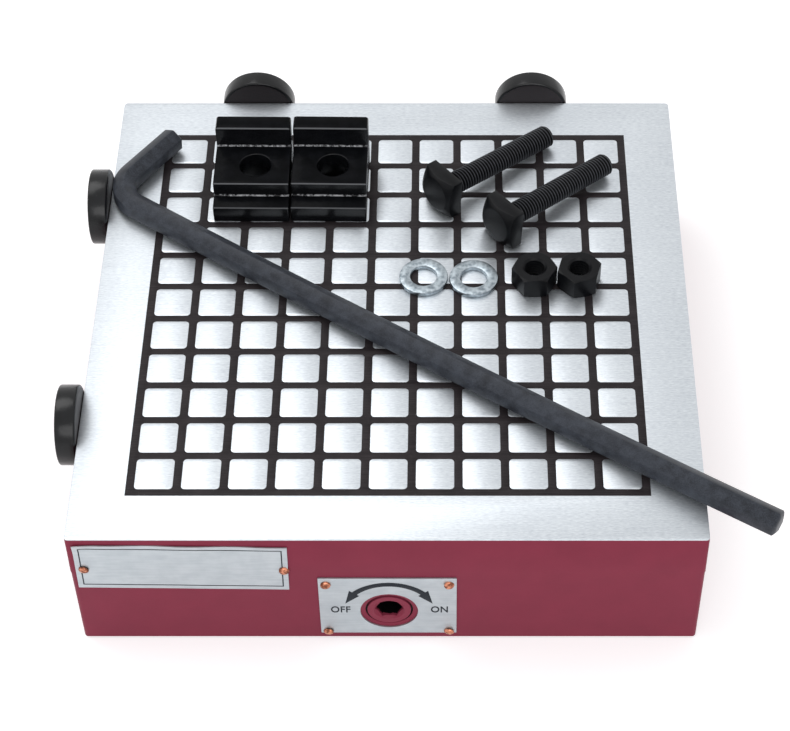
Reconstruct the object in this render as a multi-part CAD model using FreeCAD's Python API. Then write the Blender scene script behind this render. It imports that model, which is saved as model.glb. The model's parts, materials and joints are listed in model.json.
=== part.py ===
import FreeCAD, Part
import math
import os

# Permanent magnetic chuck with square poles, and the kit that belongs to it.
# A painted cast housing carries a steel pole plate. Below the plate a carriage of magnet rows
# slides half a pole pitch along X. A shaft with a crank moves it and is turned with a hex wrench
# from the front. Four eccentric stop discs sit on the left and the back of the pole plate.
# The wrench and two sets of clamp plate, T-bolt, washer and nut lie on the work face.
# Millimetres, origin at the centre of the base, X to the right, Y to the back, Z up.

Vec = FreeCAD.Vector

# Body
body_length = 300.0
body_width = 300.0
body_height = 80.0
body_corner_radius = 2.0
base_chamfer = 1.0
plate_edge_chamfer = 0.4
side_wall = 16.0
end_wall = 16.0
floor_thickness = 9.0
cavity_corner_radius = 5.0
ledge_width = 19.0

# Poles and the resin between them
lattice_border = 25.0
pole_size = 18.2
pole_corner_radius = 1.9
resin_width = 4.0
resin_depth = 10.0

# Clamping slots in the left and right walls
slot_end_room = 50.0
slot_height = 12.0
slot_depth = 10.0

# Magnet carriage
slide_gap = 0.2
magnet_gap = 0.3
shoulder_gap = 0.3
guide_strip_thickness = 2.0
guide_strip_width = 14.0
guide_strip_end_gap = 9.0
screws_per_strip = 4
yoke_thickness = 6.0
yoke_end_room = 3.0
magnet_height = 7.0
magnets_per_row = 6
magnet_end_room = 9.2
row_spacer_thickness = 3.2
jaw_side_gap = 2.0
jaw_thickness = 18.0
jaw_reach_below_shaft = 7.3
jaw_clearance = 0.15

# Crank shaft
shaft_journal = 21.0
shaft_step = 1.5
shaft_shoulder_step = 1.0
shaft_shoulder_width = 5.0
shaft_proud = 0.3
socket_size = 12.0
socket_depth = 18.0
socket_drill_depth = 4.0
socket_chamfer = 0.6
crank_pin = 16.0
crank_pin_length = 28.0
crank_web_rim = 0.45
crank_web_width = 6.0
web_floor_gap = 1.0
web_yoke_gap = 2.7
rear_journal = 14.0
running_clearance = 0.03
limit_pin_diameter = 6.0
limit_pin_reach = 14.0
limit_clearance = 0.1

# Front bush, its O-ring, the rear bearing and the bridge that ends the turn
bush_wall = 2.5
bush_flange_step = 2.5
bush_flange_width = 8.0
bush_length = 28.0
bush_mouth_gap = 0.9
bush_mouth_depth = 2.0
fit_gap = 0.1
oring_thickness = 2.6
oring_inset = 3.6
bearing_length = 22.0
bearing_foot_width = 12.5
bearing_foot_height = 10.0
bearing_top_wall = 3.0
bearing_web_gap = 0.5
bridge_leg = 11.4
bridge_thickness = 8.0
bridge_bore_gap = 0.6

# Plates on the front
switch_plate_width = 66.0
switch_plate_height = 45.0
switch_plate_thickness = 1.0
switch_plate_shift = -0.5
switch_plate_rise = 4.1
switch_plate_hole = 27.8
switch_rivet_inset = 3.6
switch_rivet_low = 21.0
switch_rivet_high = 17.6
name_plate_width = 100.0
name_plate_height = 33.5
name_plate_thickness = 0.6
name_plate_left_inset = 3.0
name_plate_drop = 21.0
name_plate_tilt = 1.0
name_rivet_drops = (1.4, 2.1)
name_rivet_insets = (3.8, 1.9)
rivet_head = 5.0
rivet_head_height = 1.7
rivet_shank = 2.5
rivet_length = 6.0

# Eccentric stop discs
stop_diameter = 39.5
stop_thickness = 10.0
stop_face_chamfer = 1.2
stop_back_chamfer = 0.8
stop_offset = 12.0
stop_screw_rise = 8.0
stop_spacing = 150.0
stop_face_gap = 0.3
stop_pivot_clearance = 0.05
stop_counterbore_depth = 5.5
left_stop_turns = (-3.5, 0.0)
back_stop_turns = (-6.5, -3.0)

# Screws that hold the pole plate down
plate_screw_thread = 6.0
plate_screw_head = 10.0
plate_screw_head_height = 6.0
plate_screw_seat_height = 10.0
plate_screw_grip = 12.0
plate_screw_end_insets = (110.0, 45.0)
plate_screw_side_inset = 30.0

# Other screws: thread diameter, head diameter, head height, length under the head
stop_screw = (8.0, 13.0, 5.0, 24.0)
bearing_screw = (6.0, 10.0, 6.0, 18.0)
bridge_screw = (4.0, 7.0, 4.0, 16.0)
jaw_screw = (6.0, 12.0, 3.3, 20.0)
strip_screw = (3.0, 6.0, 1.7, 9.0)
head_room = 0.5
thread_gap = 0.1
screw_socket_share = 0.48
screw_socket_depth_share = 0.4
screw_edge_share = 0.1

# Hex wrench
wrench_length = 402.0
wrench_short_arm = 58.0
wrench_bend_radius = 16.5
wrench_bend = 90.6
wrench_bow = 2.3
wrench_section_roll = 26.0
wrench_tip_length = 10.0
wrench_end_chamfer = 1.2
wrench_corner_inset = 1.0
wrench_corner_y = 72.2
wrench_turn = -34.8

# Clamp plates, lying with their undersides up
clamp_width = 39.5
clamp_nose = 9.3
clamp_nose_height = 10.0
clamp_waist = 28.7
clamp_waist_height = 18.5
clamp_heel = 9.6
clamp_heel_height = 31.0
clamp_hole = 16.5
clamp_hole_offset = 1.7
clamp_edge_radius = 1.5
clamp_first_x = -74.6
clamp_row_y = 57.6
clamp_side_gap = 1.1
clamp_turns = (-0.5, -0.8)

# T-bolts, washers and nuts
bolt_thread = 12.0
bolt_length = 70.0
bolt_tip_chamfer = 1.2
bolt_head_size = 22.0
bolt_head_height = 9.5
bolt_head_flat = 18.6
bolt_first_x = 28.5
bolt_first_y = 72.1
bolt_side_gap = 15.48
bolt_step_along = 9.52
bolt_turns = (39.8, 40.7)
washer_diameter = 24.8
washer_hole = 13.6
washer_thickness = 2.5
washer_first_x = 15.9
washer_first_y = 16.3
washer_side_gap = 0.8
washer_offset_y = 1.0
nut_size = 20.2
nut_height = 12.0
nut_bore = 10.4
nut_washer_gap = 8.4
nut_row_y = 13.6
nut_side_gap = 2.6
nut_turns = (2.0, 15.0)
corner_slope = 30.0
kit_gap = 0.02

# What follows from the sizes above
half_length = body_length / 2
half_width = body_width / 2
pole_pitch = pole_size + resin_width
poles_across = int((body_length - 2 * lattice_border - resin_width) / pole_pitch)
poles_deep = int((body_width - 2 * lattice_border - resin_width) / pole_pitch)
crank_throw = pole_pitch / 4
crank_web = crank_pin + 2 * (crank_throw + crank_web_rim)
shaft_diameter = shaft_journal - 2 * shaft_step
shaft_shoulder = shaft_journal + 2 * shaft_shoulder_step
shaft_height = floor_thickness + web_floor_gap + crank_web / 2
yoke_bottom = shaft_height + crank_web / 2 + web_yoke_gap
yoke_top = yoke_bottom + yoke_thickness
strip_seat_height = yoke_bottom - slide_gap - guide_strip_thickness
housing_height = yoke_top + magnet_height + magnet_gap
plate_thickness = body_height - housing_height
cavity_x = half_length - side_wall
cavity_y = half_width - end_wall
slot_length = body_width - 2 * slot_end_room
slot_bottom = clamp_heel_height - clamp_nose_height
yoke_x = cavity_x - crank_throw - yoke_end_room / 2
yoke_y = cavity_y - yoke_end_room
guide_strip_length = 2 * (cavity_x - guide_strip_end_gap)
magnet_width = pole_pitch - row_spacer_thickness
magnet_length = 2 * (yoke_y - magnet_end_room) / magnets_per_row
carriage_start = -crank_throw
inner_front = -cavity_y + ledge_width
shaft_front = -half_width - shaft_proud
bush_back = -half_width + bush_length
bush_diameter = shaft_journal + 2 * bush_wall
bush_flange = bush_diameter + 2 * bush_flange_step
bush_mouth = shaft_journal + 2 * bush_mouth_gap
bearing_hump = shaft_journal / 2 + bearing_top_wall
bearing_foot_reach = bearing_hump + bearing_foot_width
bridge_width = 2 * (shaft_diameter / 2 + bridge_bore_gap + bridge_leg)
jaw_length = crank_pin_length - 2 * jaw_side_gap
jaw_height = yoke_bottom - shaft_height + jaw_reach_below_shaft
plate_screw_length = housing_height - plate_screw_seat_height + plate_screw_grip
plate_screw = (plate_screw_thread, plate_screw_head, plate_screw_head_height, plate_screw_length)
stop_screw_height = housing_height + stop_screw_rise
switch_plate_centre = (switch_plate_shift, shaft_height + switch_plate_rise)
name_plate_centre = (name_plate_left_inset + name_plate_width / 2 - half_length,
                     body_height - name_plate_drop)
wrench_corner = (wrench_corner_inset - half_length, wrench_corner_y)

# The crank pin runs ahead of and behind a carriage that moves evenly with the turn.
worst_turn = math.asin(2 / math.pi)
lost_motion = crank_throw * abs(1 - math.cos(worst_turn) - 2 * worst_turn / math.pi)
jaw_half_slot = crank_pin / 2 + lost_motion + jaw_clearance


def block(x0, x1, y0, y1, z0, z1):
    return Part.makeBox(x1 - x0, y1 - y0, z1 - z0, Vec(x0, y0, z0))


def rod(radius, length, start, direction):
    return Part.makeCylinder(radius, length, Vec(*start), Vec(*direction))


def turned(profile, start, direction):
    """Solid of revolution. The profile is a list of (radius, distance along the axis)."""
    points = [Vec(radius, 0, along) for radius, along in profile]
    face = Part.Face(Part.makePolygon(points + points[:1]))
    solid = face.revolve(Vec(0, 0, 0), Vec(0, 0, 1), 360)
    return placed(solid, start, direction)


def placed(shape, start, direction):
    rotation = FreeCAD.Rotation(Vec(0, 0, 1), Vec(*direction))
    moved = shape.copy()
    moved.Placement = FreeCAD.Placement(Vec(*start), rotation).multiply(moved.Placement)
    return moved


def prism(points, height, base):
    """Straight prism over a polygon in X and Y."""
    outline = [Vec(x, y, base) for x, y in points]
    return Part.Face(Part.makePolygon(outline + outline[:1])).extrude(Vec(0, 0, height))


def hexagon(across_flats):
    """Corners of a hexagon with two corners on X, so two flats face along Y."""
    corner = across_flats / math.sqrt(3)
    turns = [math.radians(60 * side) for side in range(6)]
    return [(corner * math.cos(turn), corner * math.sin(turn)) for turn in turns]


def rounded_square(size, radius, x, y, z):
    """Closed wire round a square with rounded corners."""
    half = size / 2
    near = half - radius
    middle = near + radius * math.sqrt(2) / 2
    corner = [Vec(half, near, 0), Vec(middle, middle, 0), Vec(near, half, 0), Vec(-near, half, 0)]
    edges = []
    for quarter in range(4):
        turn = FreeCAD.Rotation(Vec(0, 0, 1), 90 * quarter)
        start, bulge, end, following = [turn.multVec(point) + Vec(x, y, z) for point in corner]
        edges.append(Part.Arc(start, bulge, end).toShape())
        edges.append(Part.makeLine(end, following))
    return Part.Wire(edges)


def rounded_box(half_x, half_y, radius, z0, z1):
    solid = block(-half_x, half_x, -half_y, half_y, z0, z1)
    upright = [edge for edge in solid.Edges if edge.BoundBox.ZLength > (z1 - z0) / 2]
    return solid.makeFillet(radius, upright)


def edges_at(solid, z):
    return [edge for edge in solid.Edges
            if abs(edge.BoundBox.ZMin - z) < 1e-4 and abs(edge.BoundBox.ZMax - z) < 1e-4]


def fused(shapes):
    whole = shapes[0]
    if len(shapes) > 1:
        whole = shapes[0].multiFuse(shapes[1:])
    return whole.removeSplitter()


def save(name, shapes):
    solids = [solid for shape in shapes for solid in shape.Solids]
    whole = solids[0] if len(solids) == 1 else Part.makeCompound(solids)
    whole.exportStep("parts/" + name + ".step")


def cap_screw(size, start, direction):
    """Socket head screw. start is the middle of its seat, direction points into the hole."""
    thread, head, head_height, length = size
    socket_radius = thread * screw_socket_share
    socket_floor = head_height * (screw_socket_depth_share - 1)
    edge = head_height * screw_edge_share
    tip = thread * screw_edge_share
    profile = [(0, socket_floor), (socket_radius, socket_floor), (socket_radius, -head_height),
               (head / 2 - edge, -head_height), (head / 2, edge - head_height), (head / 2, 0),
               (thread / 2, 0), (thread / 2, length - tip), (thread / 2 - tip, length), (0, length)]
    return turned(profile, start, direction)


def flat_screw(size, start, direction):
    """Countersunk screw. start is the middle of its flush face."""
    thread, head, head_height, length = size
    profile = [(0, 0), (head / 2, 0), (thread / 2, head_height), (thread / 2, length), (0, length)]
    return turned(profile, start, direction)


def screw_hole(size, start, direction):
    """Hole for the thread of a screw, from its seat to just past its tip."""
    thread, head, head_height, length = size
    return rod(thread / 2 + thread_gap, length + head_room, start, direction)


def head_pocket(size, depth, start, direction):
    """Counterbore of the given depth above the seat of a cap screw."""
    thread, head, head_height, length = size
    back = [-component for component in direction]
    return rod(head / 2 + head_room, depth, start, back)


def flat_screw_hole(size, start, direction):
    thread, head, head_height, length = size
    profile = [(0, 0), (head / 2 + thread_gap, 0), (thread / 2 + thread_gap, head_height),
               (thread / 2 + thread_gap, length + head_room), (0, length + head_room)]
    return turned(profile, start, direction)


def plate_screw_seats():
    """Seats of the screws that hold the pole plate, in the walls of the housing."""
    end_y = half_width - end_wall / 2
    side_x = half_length - side_wall / 2
    side_spread = half_width - plate_screw_side_inset
    seats = []
    for side in (-1, 1):
        for inset in plate_screw_end_insets:
            spread = half_length - inset
            seats.append((spread, side * end_y, plate_screw_seat_height))
            seats.append((-spread, side * end_y, plate_screw_seat_height))
        for back in (-1, 1):
            seats.append((side * side_x, back * side_spread, plate_screw_seat_height))
    return seats


def stop_sites():
    """Name, screw seat on the side face, outward direction and rest turn of each stop disc."""
    sites = []
    for name, side, turn in zip(("front", "rear"), (-1, 1), left_stop_turns):
        seat = (-half_length, side * stop_spacing / 2, stop_screw_height)
        sites.append(("stop_disc_left_" + name, seat, (-1, 0, 0), turn))
    for name, side, turn in zip(("left", "right"), (-1, 1), back_stop_turns):
        seat = (side * stop_spacing / 2, half_width, stop_screw_height)
        sites.append(("stop_disc_back_" + name, seat, (0, 1, 0), turn))
    return sites


def stop_screw_seat(seat, outward):
    """Underside of the screw head, inside the counterbore of the disc."""
    depth = stop_face_gap + stop_thickness - stop_counterbore_depth
    return tuple(place + depth * way for place, way in zip(seat, outward))


def jaw_screw_seats():
    middle = jaw_half_slot + jaw_thickness / 2
    return [(carriage_start + side * middle, back * jaw_length / 4, yoke_top)
            for side in (-1, 1) for back in (-1, 1)]


def strip_screw_seats():
    seats = []
    reach = guide_strip_length / 2 - guide_strip_width
    strip_y = -inner_front + ledge_width / 2
    for side in (-1, 1):
        for index in range(screws_per_strip):
            x = -reach + 2 * reach * index / (screws_per_strip - 1)
            seats.append((x, side * strip_y, strip_seat_height + guide_strip_thickness))
    return seats


def bearing_screw_seats():
    x = (bearing_foot_reach + bearing_hump) / 2
    y = crank_pin_length / 2 + crank_web_width + bearing_web_gap + bearing_length / 2
    return [(side * x, y, floor_thickness + bearing_foot_height) for side in (-1, 1)]


def bridge_screw_seats():
    x = (bridge_width / 2 + shaft_diameter / 2 + bridge_bore_gap) / 2
    low = shaft_height + limit_pin_diameter / 2 + limit_clearance
    z = (low + strip_seat_height) / 2
    return [(side * x, inner_front + bridge_thickness, z) for side in (-1, 1)]


def switch_rivet_places():
    x, z = switch_plate_centre
    reach = switch_plate_width / 2 - switch_rivet_inset
    heights = (z - switch_rivet_low, z + switch_rivet_high)
    return [(x + side * reach, height) for side in (-1, 1) for height in heights]


def name_rivet_places():
    x, z = name_plate_centre
    left = x - name_plate_width / 2
    places_x = (left + name_rivet_insets[0], left + name_plate_width - name_rivet_insets[1])
    return [(place, z - drop) for place, drop in zip(places_x, name_rivet_drops)]


def housing():
    outer = rounded_box(half_length, half_width, body_corner_radius, 0, housing_height)
    outer = outer.makeChamfer(base_chamfer, edges_at(outer, 0))
    upper = rounded_box(cavity_x, cavity_y, cavity_corner_radius, strip_seat_height, housing_height)
    lower = rounded_box(cavity_x, -inner_front, cavity_corner_radius, floor_thickness, strip_seat_height)
    tools = [upper, lower, rod(bush_diameter / 2 + fit_gap, half_width + inner_front,
                               (0, -half_width, shaft_height), (0, 1, 0)),
             rod(bush_flange / 2 + fit_gap, bush_flange_width + fit_gap,
                 (0, -half_width, shaft_height), (0, 1, 0))]
    tools += [clamp_slot(-1), clamp_slot(1)]
    for seat in plate_screw_seats():
        tools.append(screw_hole(plate_screw, seat, (0, 0, 1)))
        tools.append(head_pocket(plate_screw, seat[2], seat, (0, 0, 1)))
    tools += [screw_hole(bearing_screw, seat, (0, 0, -1)) for seat in bearing_screw_seats()]
    tools += [screw_hole(bridge_screw, seat, (0, -1, 0)) for seat in bridge_screw_seats()]
    tools += [flat_screw_hole(strip_screw, seat, (0, 0, -1)) for seat in strip_screw_seats()]
    for x, z in switch_rivet_places() + name_rivet_places():
        tools.append(rod(rivet_shank / 2 + fit_gap, rivet_length, (x, -half_width, z), (0, 1, 0)))
    return outer.cut(tools)


def clamp_slot(side):
    """Slot with round ends, milled into a side wall for the noses of the clamp plates."""
    radius = slot_height / 2
    straight = slot_length - slot_height
    middle = slot_bottom + radius
    face_x = side * half_length
    x0, x1 = sorted((face_x, face_x - side * slot_depth))
    core = block(x0, x1, -straight / 2, straight / 2, slot_bottom, slot_bottom + slot_height)
    ends = [rod(radius, slot_depth, (x0, end * straight / 2, middle), (1, 0, 0)) for end in (-1, 1)]
    return fused([core] + ends)


def pole_centres(count):
    reach = (count - 1) / 2
    return [(index - reach) * pole_pitch for index in range(count)]


def resin_lattice(base, depth):
    half_x = (poles_across * pole_pitch + resin_width) / 2
    half_y = (poles_deep * pole_pitch + resin_width) / 2
    corners = [Vec(half_x, -half_y, base), Vec(half_x, half_y, base),
               Vec(-half_x, half_y, base), Vec(-half_x, -half_y, base)]
    outer = Part.makePolygon(corners + corners[:1])
    windows = [rounded_square(pole_size, pole_corner_radius, x, y, base)
               for x in pole_centres(poles_across) for y in pole_centres(poles_deep)]
    face = Part.makeFace([outer] + windows, "Part::FaceMakerBullseye")
    return face.extrude(Vec(0, 0, depth))


def pole_plate(lattice):
    plate = rounded_box(half_length, half_width, body_corner_radius, housing_height, body_height)
    plate = plate.makeChamfer(plate_edge_chamfer, edges_at(plate, body_height))
    tools = [lattice]
    tools += [screw_hole(plate_screw, seat, (0, 0, 1)) for seat in plate_screw_seats()]
    for name, seat, outward, turn in stop_sites():
        inward = [-component for component in outward]
        tools.append(screw_hole(stop_screw, stop_screw_seat(seat, outward), inward))
    for x, z in name_rivet_places():
        tools.append(rod(rivet_shank / 2 + fit_gap, rivet_length, (x, -half_width, z), (0, 1, 0)))
    return plate.cut(tools)


def guide_strips():
    strip_y = -inner_front + ledge_width / 2
    strips = []
    for side in (-1, 1):
        strips.append(block(-guide_strip_length / 2, guide_strip_length / 2,
                            side * strip_y - guide_strip_width / 2,
                            side * strip_y + guide_strip_width / 2,
                            strip_seat_height, strip_seat_height + guide_strip_thickness))
    holes = [flat_screw_hole(strip_screw, seat, (0, 0, -1)) for seat in strip_screw_seats()]
    return [strip.cut(holes) for strip in strips]


def yoke():
    plate = block(carriage_start - yoke_x, carriage_start + yoke_x, -yoke_y, yoke_y,
                  yoke_bottom, yoke_top)
    return plate.cut([flat_screw_hole(jaw_screw, seat, (0, 0, -1)) for seat in jaw_screw_seats()])


def drive_jaw(side):
    x0, x1 = sorted((carriage_start + side * jaw_half_slot,
                     carriage_start + side * (jaw_half_slot + jaw_thickness)))
    jaw = block(x0, x1, -jaw_length / 2, jaw_length / 2, yoke_bottom - jaw_height, yoke_bottom)
    return jaw.cut([flat_screw_hole(jaw_screw, seat, (0, 0, -1)) for seat in jaw_screw_seats()])


def row_places():
    """Centres of the magnet rows with the chuck off, half a pitch to the left of the poles."""
    return [x + 2 * carriage_start for x in pole_centres(poles_across)]


def magnet_row(x):
    total = magnets_per_row * magnet_length
    row = []
    for index in range(magnets_per_row):
        y0 = -total / 2 + index * magnet_length
        row.append(block(x - magnet_width / 2, x + magnet_width / 2, y0, y0 + magnet_length,
                         yoke_top, yoke_top + magnet_height))
    return row


def row_spacers():
    half = magnets_per_row * magnet_length / 2
    spacers = []
    for x in row_places()[:-1]:
        x0 = x + magnet_width / 2
        x1 = x0 + row_spacer_thickness
        spacers.append(block(x0, x1, -half, half, yoke_top, yoke_top + magnet_height))
    return spacers


def crank_shaft():
    """Turned shaft with its crank pin to the left, which is the off position."""
    shoulder_front = bush_back + shoulder_gap
    web_front = -crank_pin_length / 2 - crank_web_width
    web_back = -web_front
    tail = web_back + bearing_web_gap + bearing_length
    axis = (0, 1, 0)
    parts = [
        rod(shaft_journal / 2, shoulder_front - shaft_front, (0, shaft_front, shaft_height), axis),
        rod(shaft_shoulder / 2, shaft_shoulder_width, (0, shoulder_front, shaft_height), axis),
        rod(shaft_diameter / 2, web_front - shoulder_front, (0, shoulder_front, shaft_height), axis),
        rod(crank_web / 2, crank_web_width, (0, web_front, shaft_height), axis),
        rod(crank_pin / 2, crank_pin_length, (-crank_throw, web_front + crank_web_width, shaft_height), axis),
        rod(crank_web / 2, crank_web_width, (0, web_back - crank_web_width, shaft_height), axis),
        rod(rear_journal / 2, tail - web_back, (0, web_back, shaft_height), axis)]
    socket = placed(prism(hexagon(socket_size), socket_depth, 0), (0, 0, 0), (0, 0, 1))
    mouth = socket_size / math.sqrt(3) + socket_chamfer
    lead = turned([(0, 0), (mouth, 0), (mouth - 2 * socket_chamfer, 2 * socket_chamfer),
                   (0, 2 * socket_chamfer)], (0, 0, 0), (0, 0, 1))
    drill = rod(socket_size / 2, socket_depth + socket_drill_depth, (0, 0, 0), (0, 0, 1))
    tool = placed(fused([socket, lead, drill]), (0, shaft_front, shaft_height), axis)
    pin_hole = rod(limit_pin_diameter / 2, shaft_diameter, (0, limit_pin_y(), shaft_height), (1, 0, 0))
    return fused(parts).cut([tool, pin_hole])


def limit_pin_y():
    return inner_front + bridge_thickness / 2


def limit_pin():
    """Radial pin of the shaft, pointing right when the chuck is off and swinging down and over."""
    return rod(limit_pin_diameter / 2, limit_pin_reach, (0, limit_pin_y(), shaft_height), (1, 0, 0))


def limit_bridge():
    """Plate over the shaft. The limit pin meets one underside when off and the other when on."""
    low = shaft_height + limit_pin_diameter / 2 + limit_clearance
    plate = block(-bridge_width / 2, bridge_width / 2, inner_front, inner_front + bridge_thickness,
                  low, strip_seat_height)
    arch = rod(shaft_diameter / 2 + bridge_bore_gap, bridge_thickness,
               (0, inner_front, shaft_height), (0, 1, 0))
    holes = [screw_hole(bridge_screw, seat, (0, -1, 0)) for seat in bridge_screw_seats()]
    return plate.cut([arch] + holes)


def front_bush():
    """Bush flush with the front face, with a wide mouth and a groove for the O-ring."""
    outer = bush_diameter / 2
    flange = bush_flange / 2
    bore = shaft_journal / 2 + running_clearance
    groove = bore + oring_thickness - fit_gap
    groove_end = oring_inset + oring_thickness
    profile = [(bore, bush_mouth_depth), (bush_mouth / 2, bush_mouth_depth), (bush_mouth / 2, 0),
               (flange, 0), (flange, bush_flange_width), (outer, bush_flange_width),
               (outer, bush_length), (bore, bush_length), (bore, groove_end),
               (groove, groove_end), (groove, oring_inset), (bore, oring_inset)]
    return turned(profile, (0, -half_width, shaft_height), (0, 1, 0))


def shaft_oring():
    bore = shaft_journal / 2 + running_clearance
    outer = bore + oring_thickness - 2 * fit_gap
    profile = [(bore, oring_inset + fit_gap), (outer, oring_inset + fit_gap),
               (outer, oring_inset + oring_thickness - fit_gap),
               (bore, oring_inset + oring_thickness - fit_gap)]
    return turned(profile, (0, -half_width, shaft_height), (0, 1, 0))


def rear_bearing():
    y0 = crank_pin_length / 2 + crank_web_width + bearing_web_gap
    bore = rear_journal / 2 + running_clearance
    top = shaft_height + rear_journal / 2 + bearing_top_wall
    foot = block(-bearing_foot_reach, bearing_foot_reach, y0, y0 + bearing_length,
                 floor_thickness, floor_thickness + bearing_foot_height)
    body = block(-bearing_hump, bearing_hump, y0, y0 + bearing_length, floor_thickness, top)
    shoulders = [edge for edge in body.Edges
                 if edge.BoundBox.YLength > bearing_length / 2 and edge.BoundBox.ZMin > shaft_height]
    body = body.makeChamfer((bearing_hump - bore) / 2, shoulders)
    tools = [rod(bore, bearing_length, (0, y0, shaft_height), (0, 1, 0))]
    tools += [screw_hole(bearing_screw, seat, (0, 0, -1)) for seat in bearing_screw_seats()]
    return fused([foot, body]).cut(tools)


def front_plate(width, height, thickness, centre, tilt, holes):
    """Thin plate flat on the front face."""
    x, z = centre
    plate = block(-width / 2, width / 2, -thickness, 0, -height / 2, height / 2)
    turn = FreeCAD.Rotation(Vec(0, 1, 0), tilt)
    plate.Placement = FreeCAD.Placement(Vec(x, -half_width, z), turn)
    return plate.cut(holes)


def rivet(x, z, thickness):
    """Domed rivet. Its head lies on a plate of the given thickness."""
    head = rivet_head / 2
    sphere_radius = (head ** 2 + rivet_head_height ** 2) / (2 * rivet_head_height)
    dome = Part.makeSphere(sphere_radius, Vec(0, 0, sphere_radius - rivet_head_height))
    cap = dome.common(rod(head, rivet_head_height, (0, 0, -rivet_head_height), (0, 0, 1)))
    stem = rod(rivet_shank / 2, rivet_length - thickness, (0, 0, 0), (0, 0, 1))
    return placed(fused([cap, stem]), (x, -half_width - thickness, z), (0, 1, 0))


def rivet_holes(places, thickness):
    return [rod(rivet_shank / 2 + fit_gap, 2 * thickness, (x, -half_width - thickness, z), (0, 1, 0))
            for x, z in places]


def switch_plate():
    bush_hole = rod(switch_plate_hole / 2, 2 * switch_plate_thickness,
                    (0, -half_width - switch_plate_thickness, shaft_height), (0, 1, 0))
    holes = rivet_holes(switch_rivet_places(), switch_plate_thickness) + [bush_hole]
    return front_plate(switch_plate_width, switch_plate_height, switch_plate_thickness,
                       switch_plate_centre, 0, holes)


def name_plate():
    holes = rivet_holes(name_rivet_places(), name_plate_thickness)
    return front_plate(name_plate_width, name_plate_height, name_plate_thickness,
                       name_plate_centre, name_plate_tilt, holes)


def stop_disc(seat, outward, turn):
    """Disc with its screw hole off centre, so that turning it raises or lowers its rim."""
    radius = stop_diameter / 2
    edge = stop_face_chamfer
    back = stop_back_chamfer
    profile = [(0, 0), (radius - 2 * edge, 0), (radius, edge), (radius, stop_thickness - back),
               (radius - back, stop_thickness), (0, stop_thickness)]
    disc = turned(profile, (stop_offset, 0, 0), (0, 0, 1))
    hole = rod(stop_screw[0] / 2 + stop_pivot_clearance, stop_thickness, (0, 0, 0), (0, 0, 1))
    pocket = rod(stop_screw[1] / 2 + head_room, stop_counterbore_depth,
                 (0, 0, stop_thickness - stop_counterbore_depth), (0, 0, 1))
    disc = disc.cut([hole, pocket])
    disc.rotate(Vec(0, 0, 0), Vec(0, 0, 1), turn)
    # The local X axis, towards the disc's centre, becomes +Z.
    out = Vec(*outward)
    across = Vec(0, 0, 1).cross(out)
    rotation = FreeCAD.Rotation(out.cross(across), across, out)
    place = Vec(*seat) + out * stop_face_gap
    moved = disc.copy()
    moved.Placement = FreeCAD.Placement(place, rotation).multiply(moved.Placement)
    return moved


def hex_wrench():
    """Bent hexagon bar lying on the work face, its long arm slightly bowed."""
    size = socket_size - 2 * fit_gap
    roll = math.radians(wrench_section_roll)
    section = [(x * math.cos(roll) - z * math.sin(roll), x * math.sin(roll) + z * math.cos(roll))
               for x, z in hexagon(size)]
    setback = wrench_bend_radius * math.tan(math.radians(wrench_bend / 2))
    long_straight = wrench_length - size / 2 - setback
    short_straight = wrench_short_arm - size / 2 - setback
    outline = [Vec(0, across, up) for across, up in section]
    face = Part.Face(Part.makePolygon(outline + outline[:1]))
    bow_length = long_straight - wrench_tip_length
    bow_radius = bow_length ** 2 / (8 * wrench_bow)
    bow_turn = math.degrees(bow_length / bow_radius)
    bow_centre = Vec(0, bow_radius, 0)
    long_arm = face.revolve(bow_centre, Vec(0, 0, 1), bow_turn)
    long_tip = face.extrude(Vec(wrench_tip_length, 0, 0)).common(tipped_rod(size, wrench_tip_length))
    long_tip.rotate(bow_centre, Vec(0, 0, 1), bow_turn)
    centre = Vec(0, wrench_bend_radius, 0)
    bend = face.revolve(centre, Vec(0, 0, 1), -wrench_bend)
    short_arm = face.extrude(Vec(-short_straight, 0, 0))
    tip = tipped_rod(size, short_straight)
    tip.rotate(Vec(0, 0, 0), Vec(0, 0, 1), 180)
    short_arm = short_arm.common(tip)
    short_arm.rotate(centre, Vec(0, 0, 1), -wrench_bend)
    wrench = fused([long_tip, long_arm, bend, short_arm])
    wrench.translate(Vec(setback, 0, 0))
    wrench.rotate(Vec(0, 0, 0), Vec(0, 0, 1), wrench_turn)
    lift = body_height + kit_gap - min(up for across, up in section)
    wrench.translate(Vec(*wrench_corner, lift))
    return wrench


def tipped_rod(size, length):
    """Round bar along X with a chamfered tip, used to chamfer the end of a hexagon bar."""
    corner = size / math.sqrt(3)
    tip = wrench_end_chamfer
    return turned([(0, 0), (corner + fit_gap, 0), (corner + fit_gap, length - tip / 2),
                   (corner - tip, length), (0, length)], (0, 0, 0), (1, 0, 0))


def clamp_places():
    step = clamp_width + clamp_side_gap
    return [(clamp_first_x + step * index, clamp_row_y, turn) for index, turn in enumerate(clamp_turns)]


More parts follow.
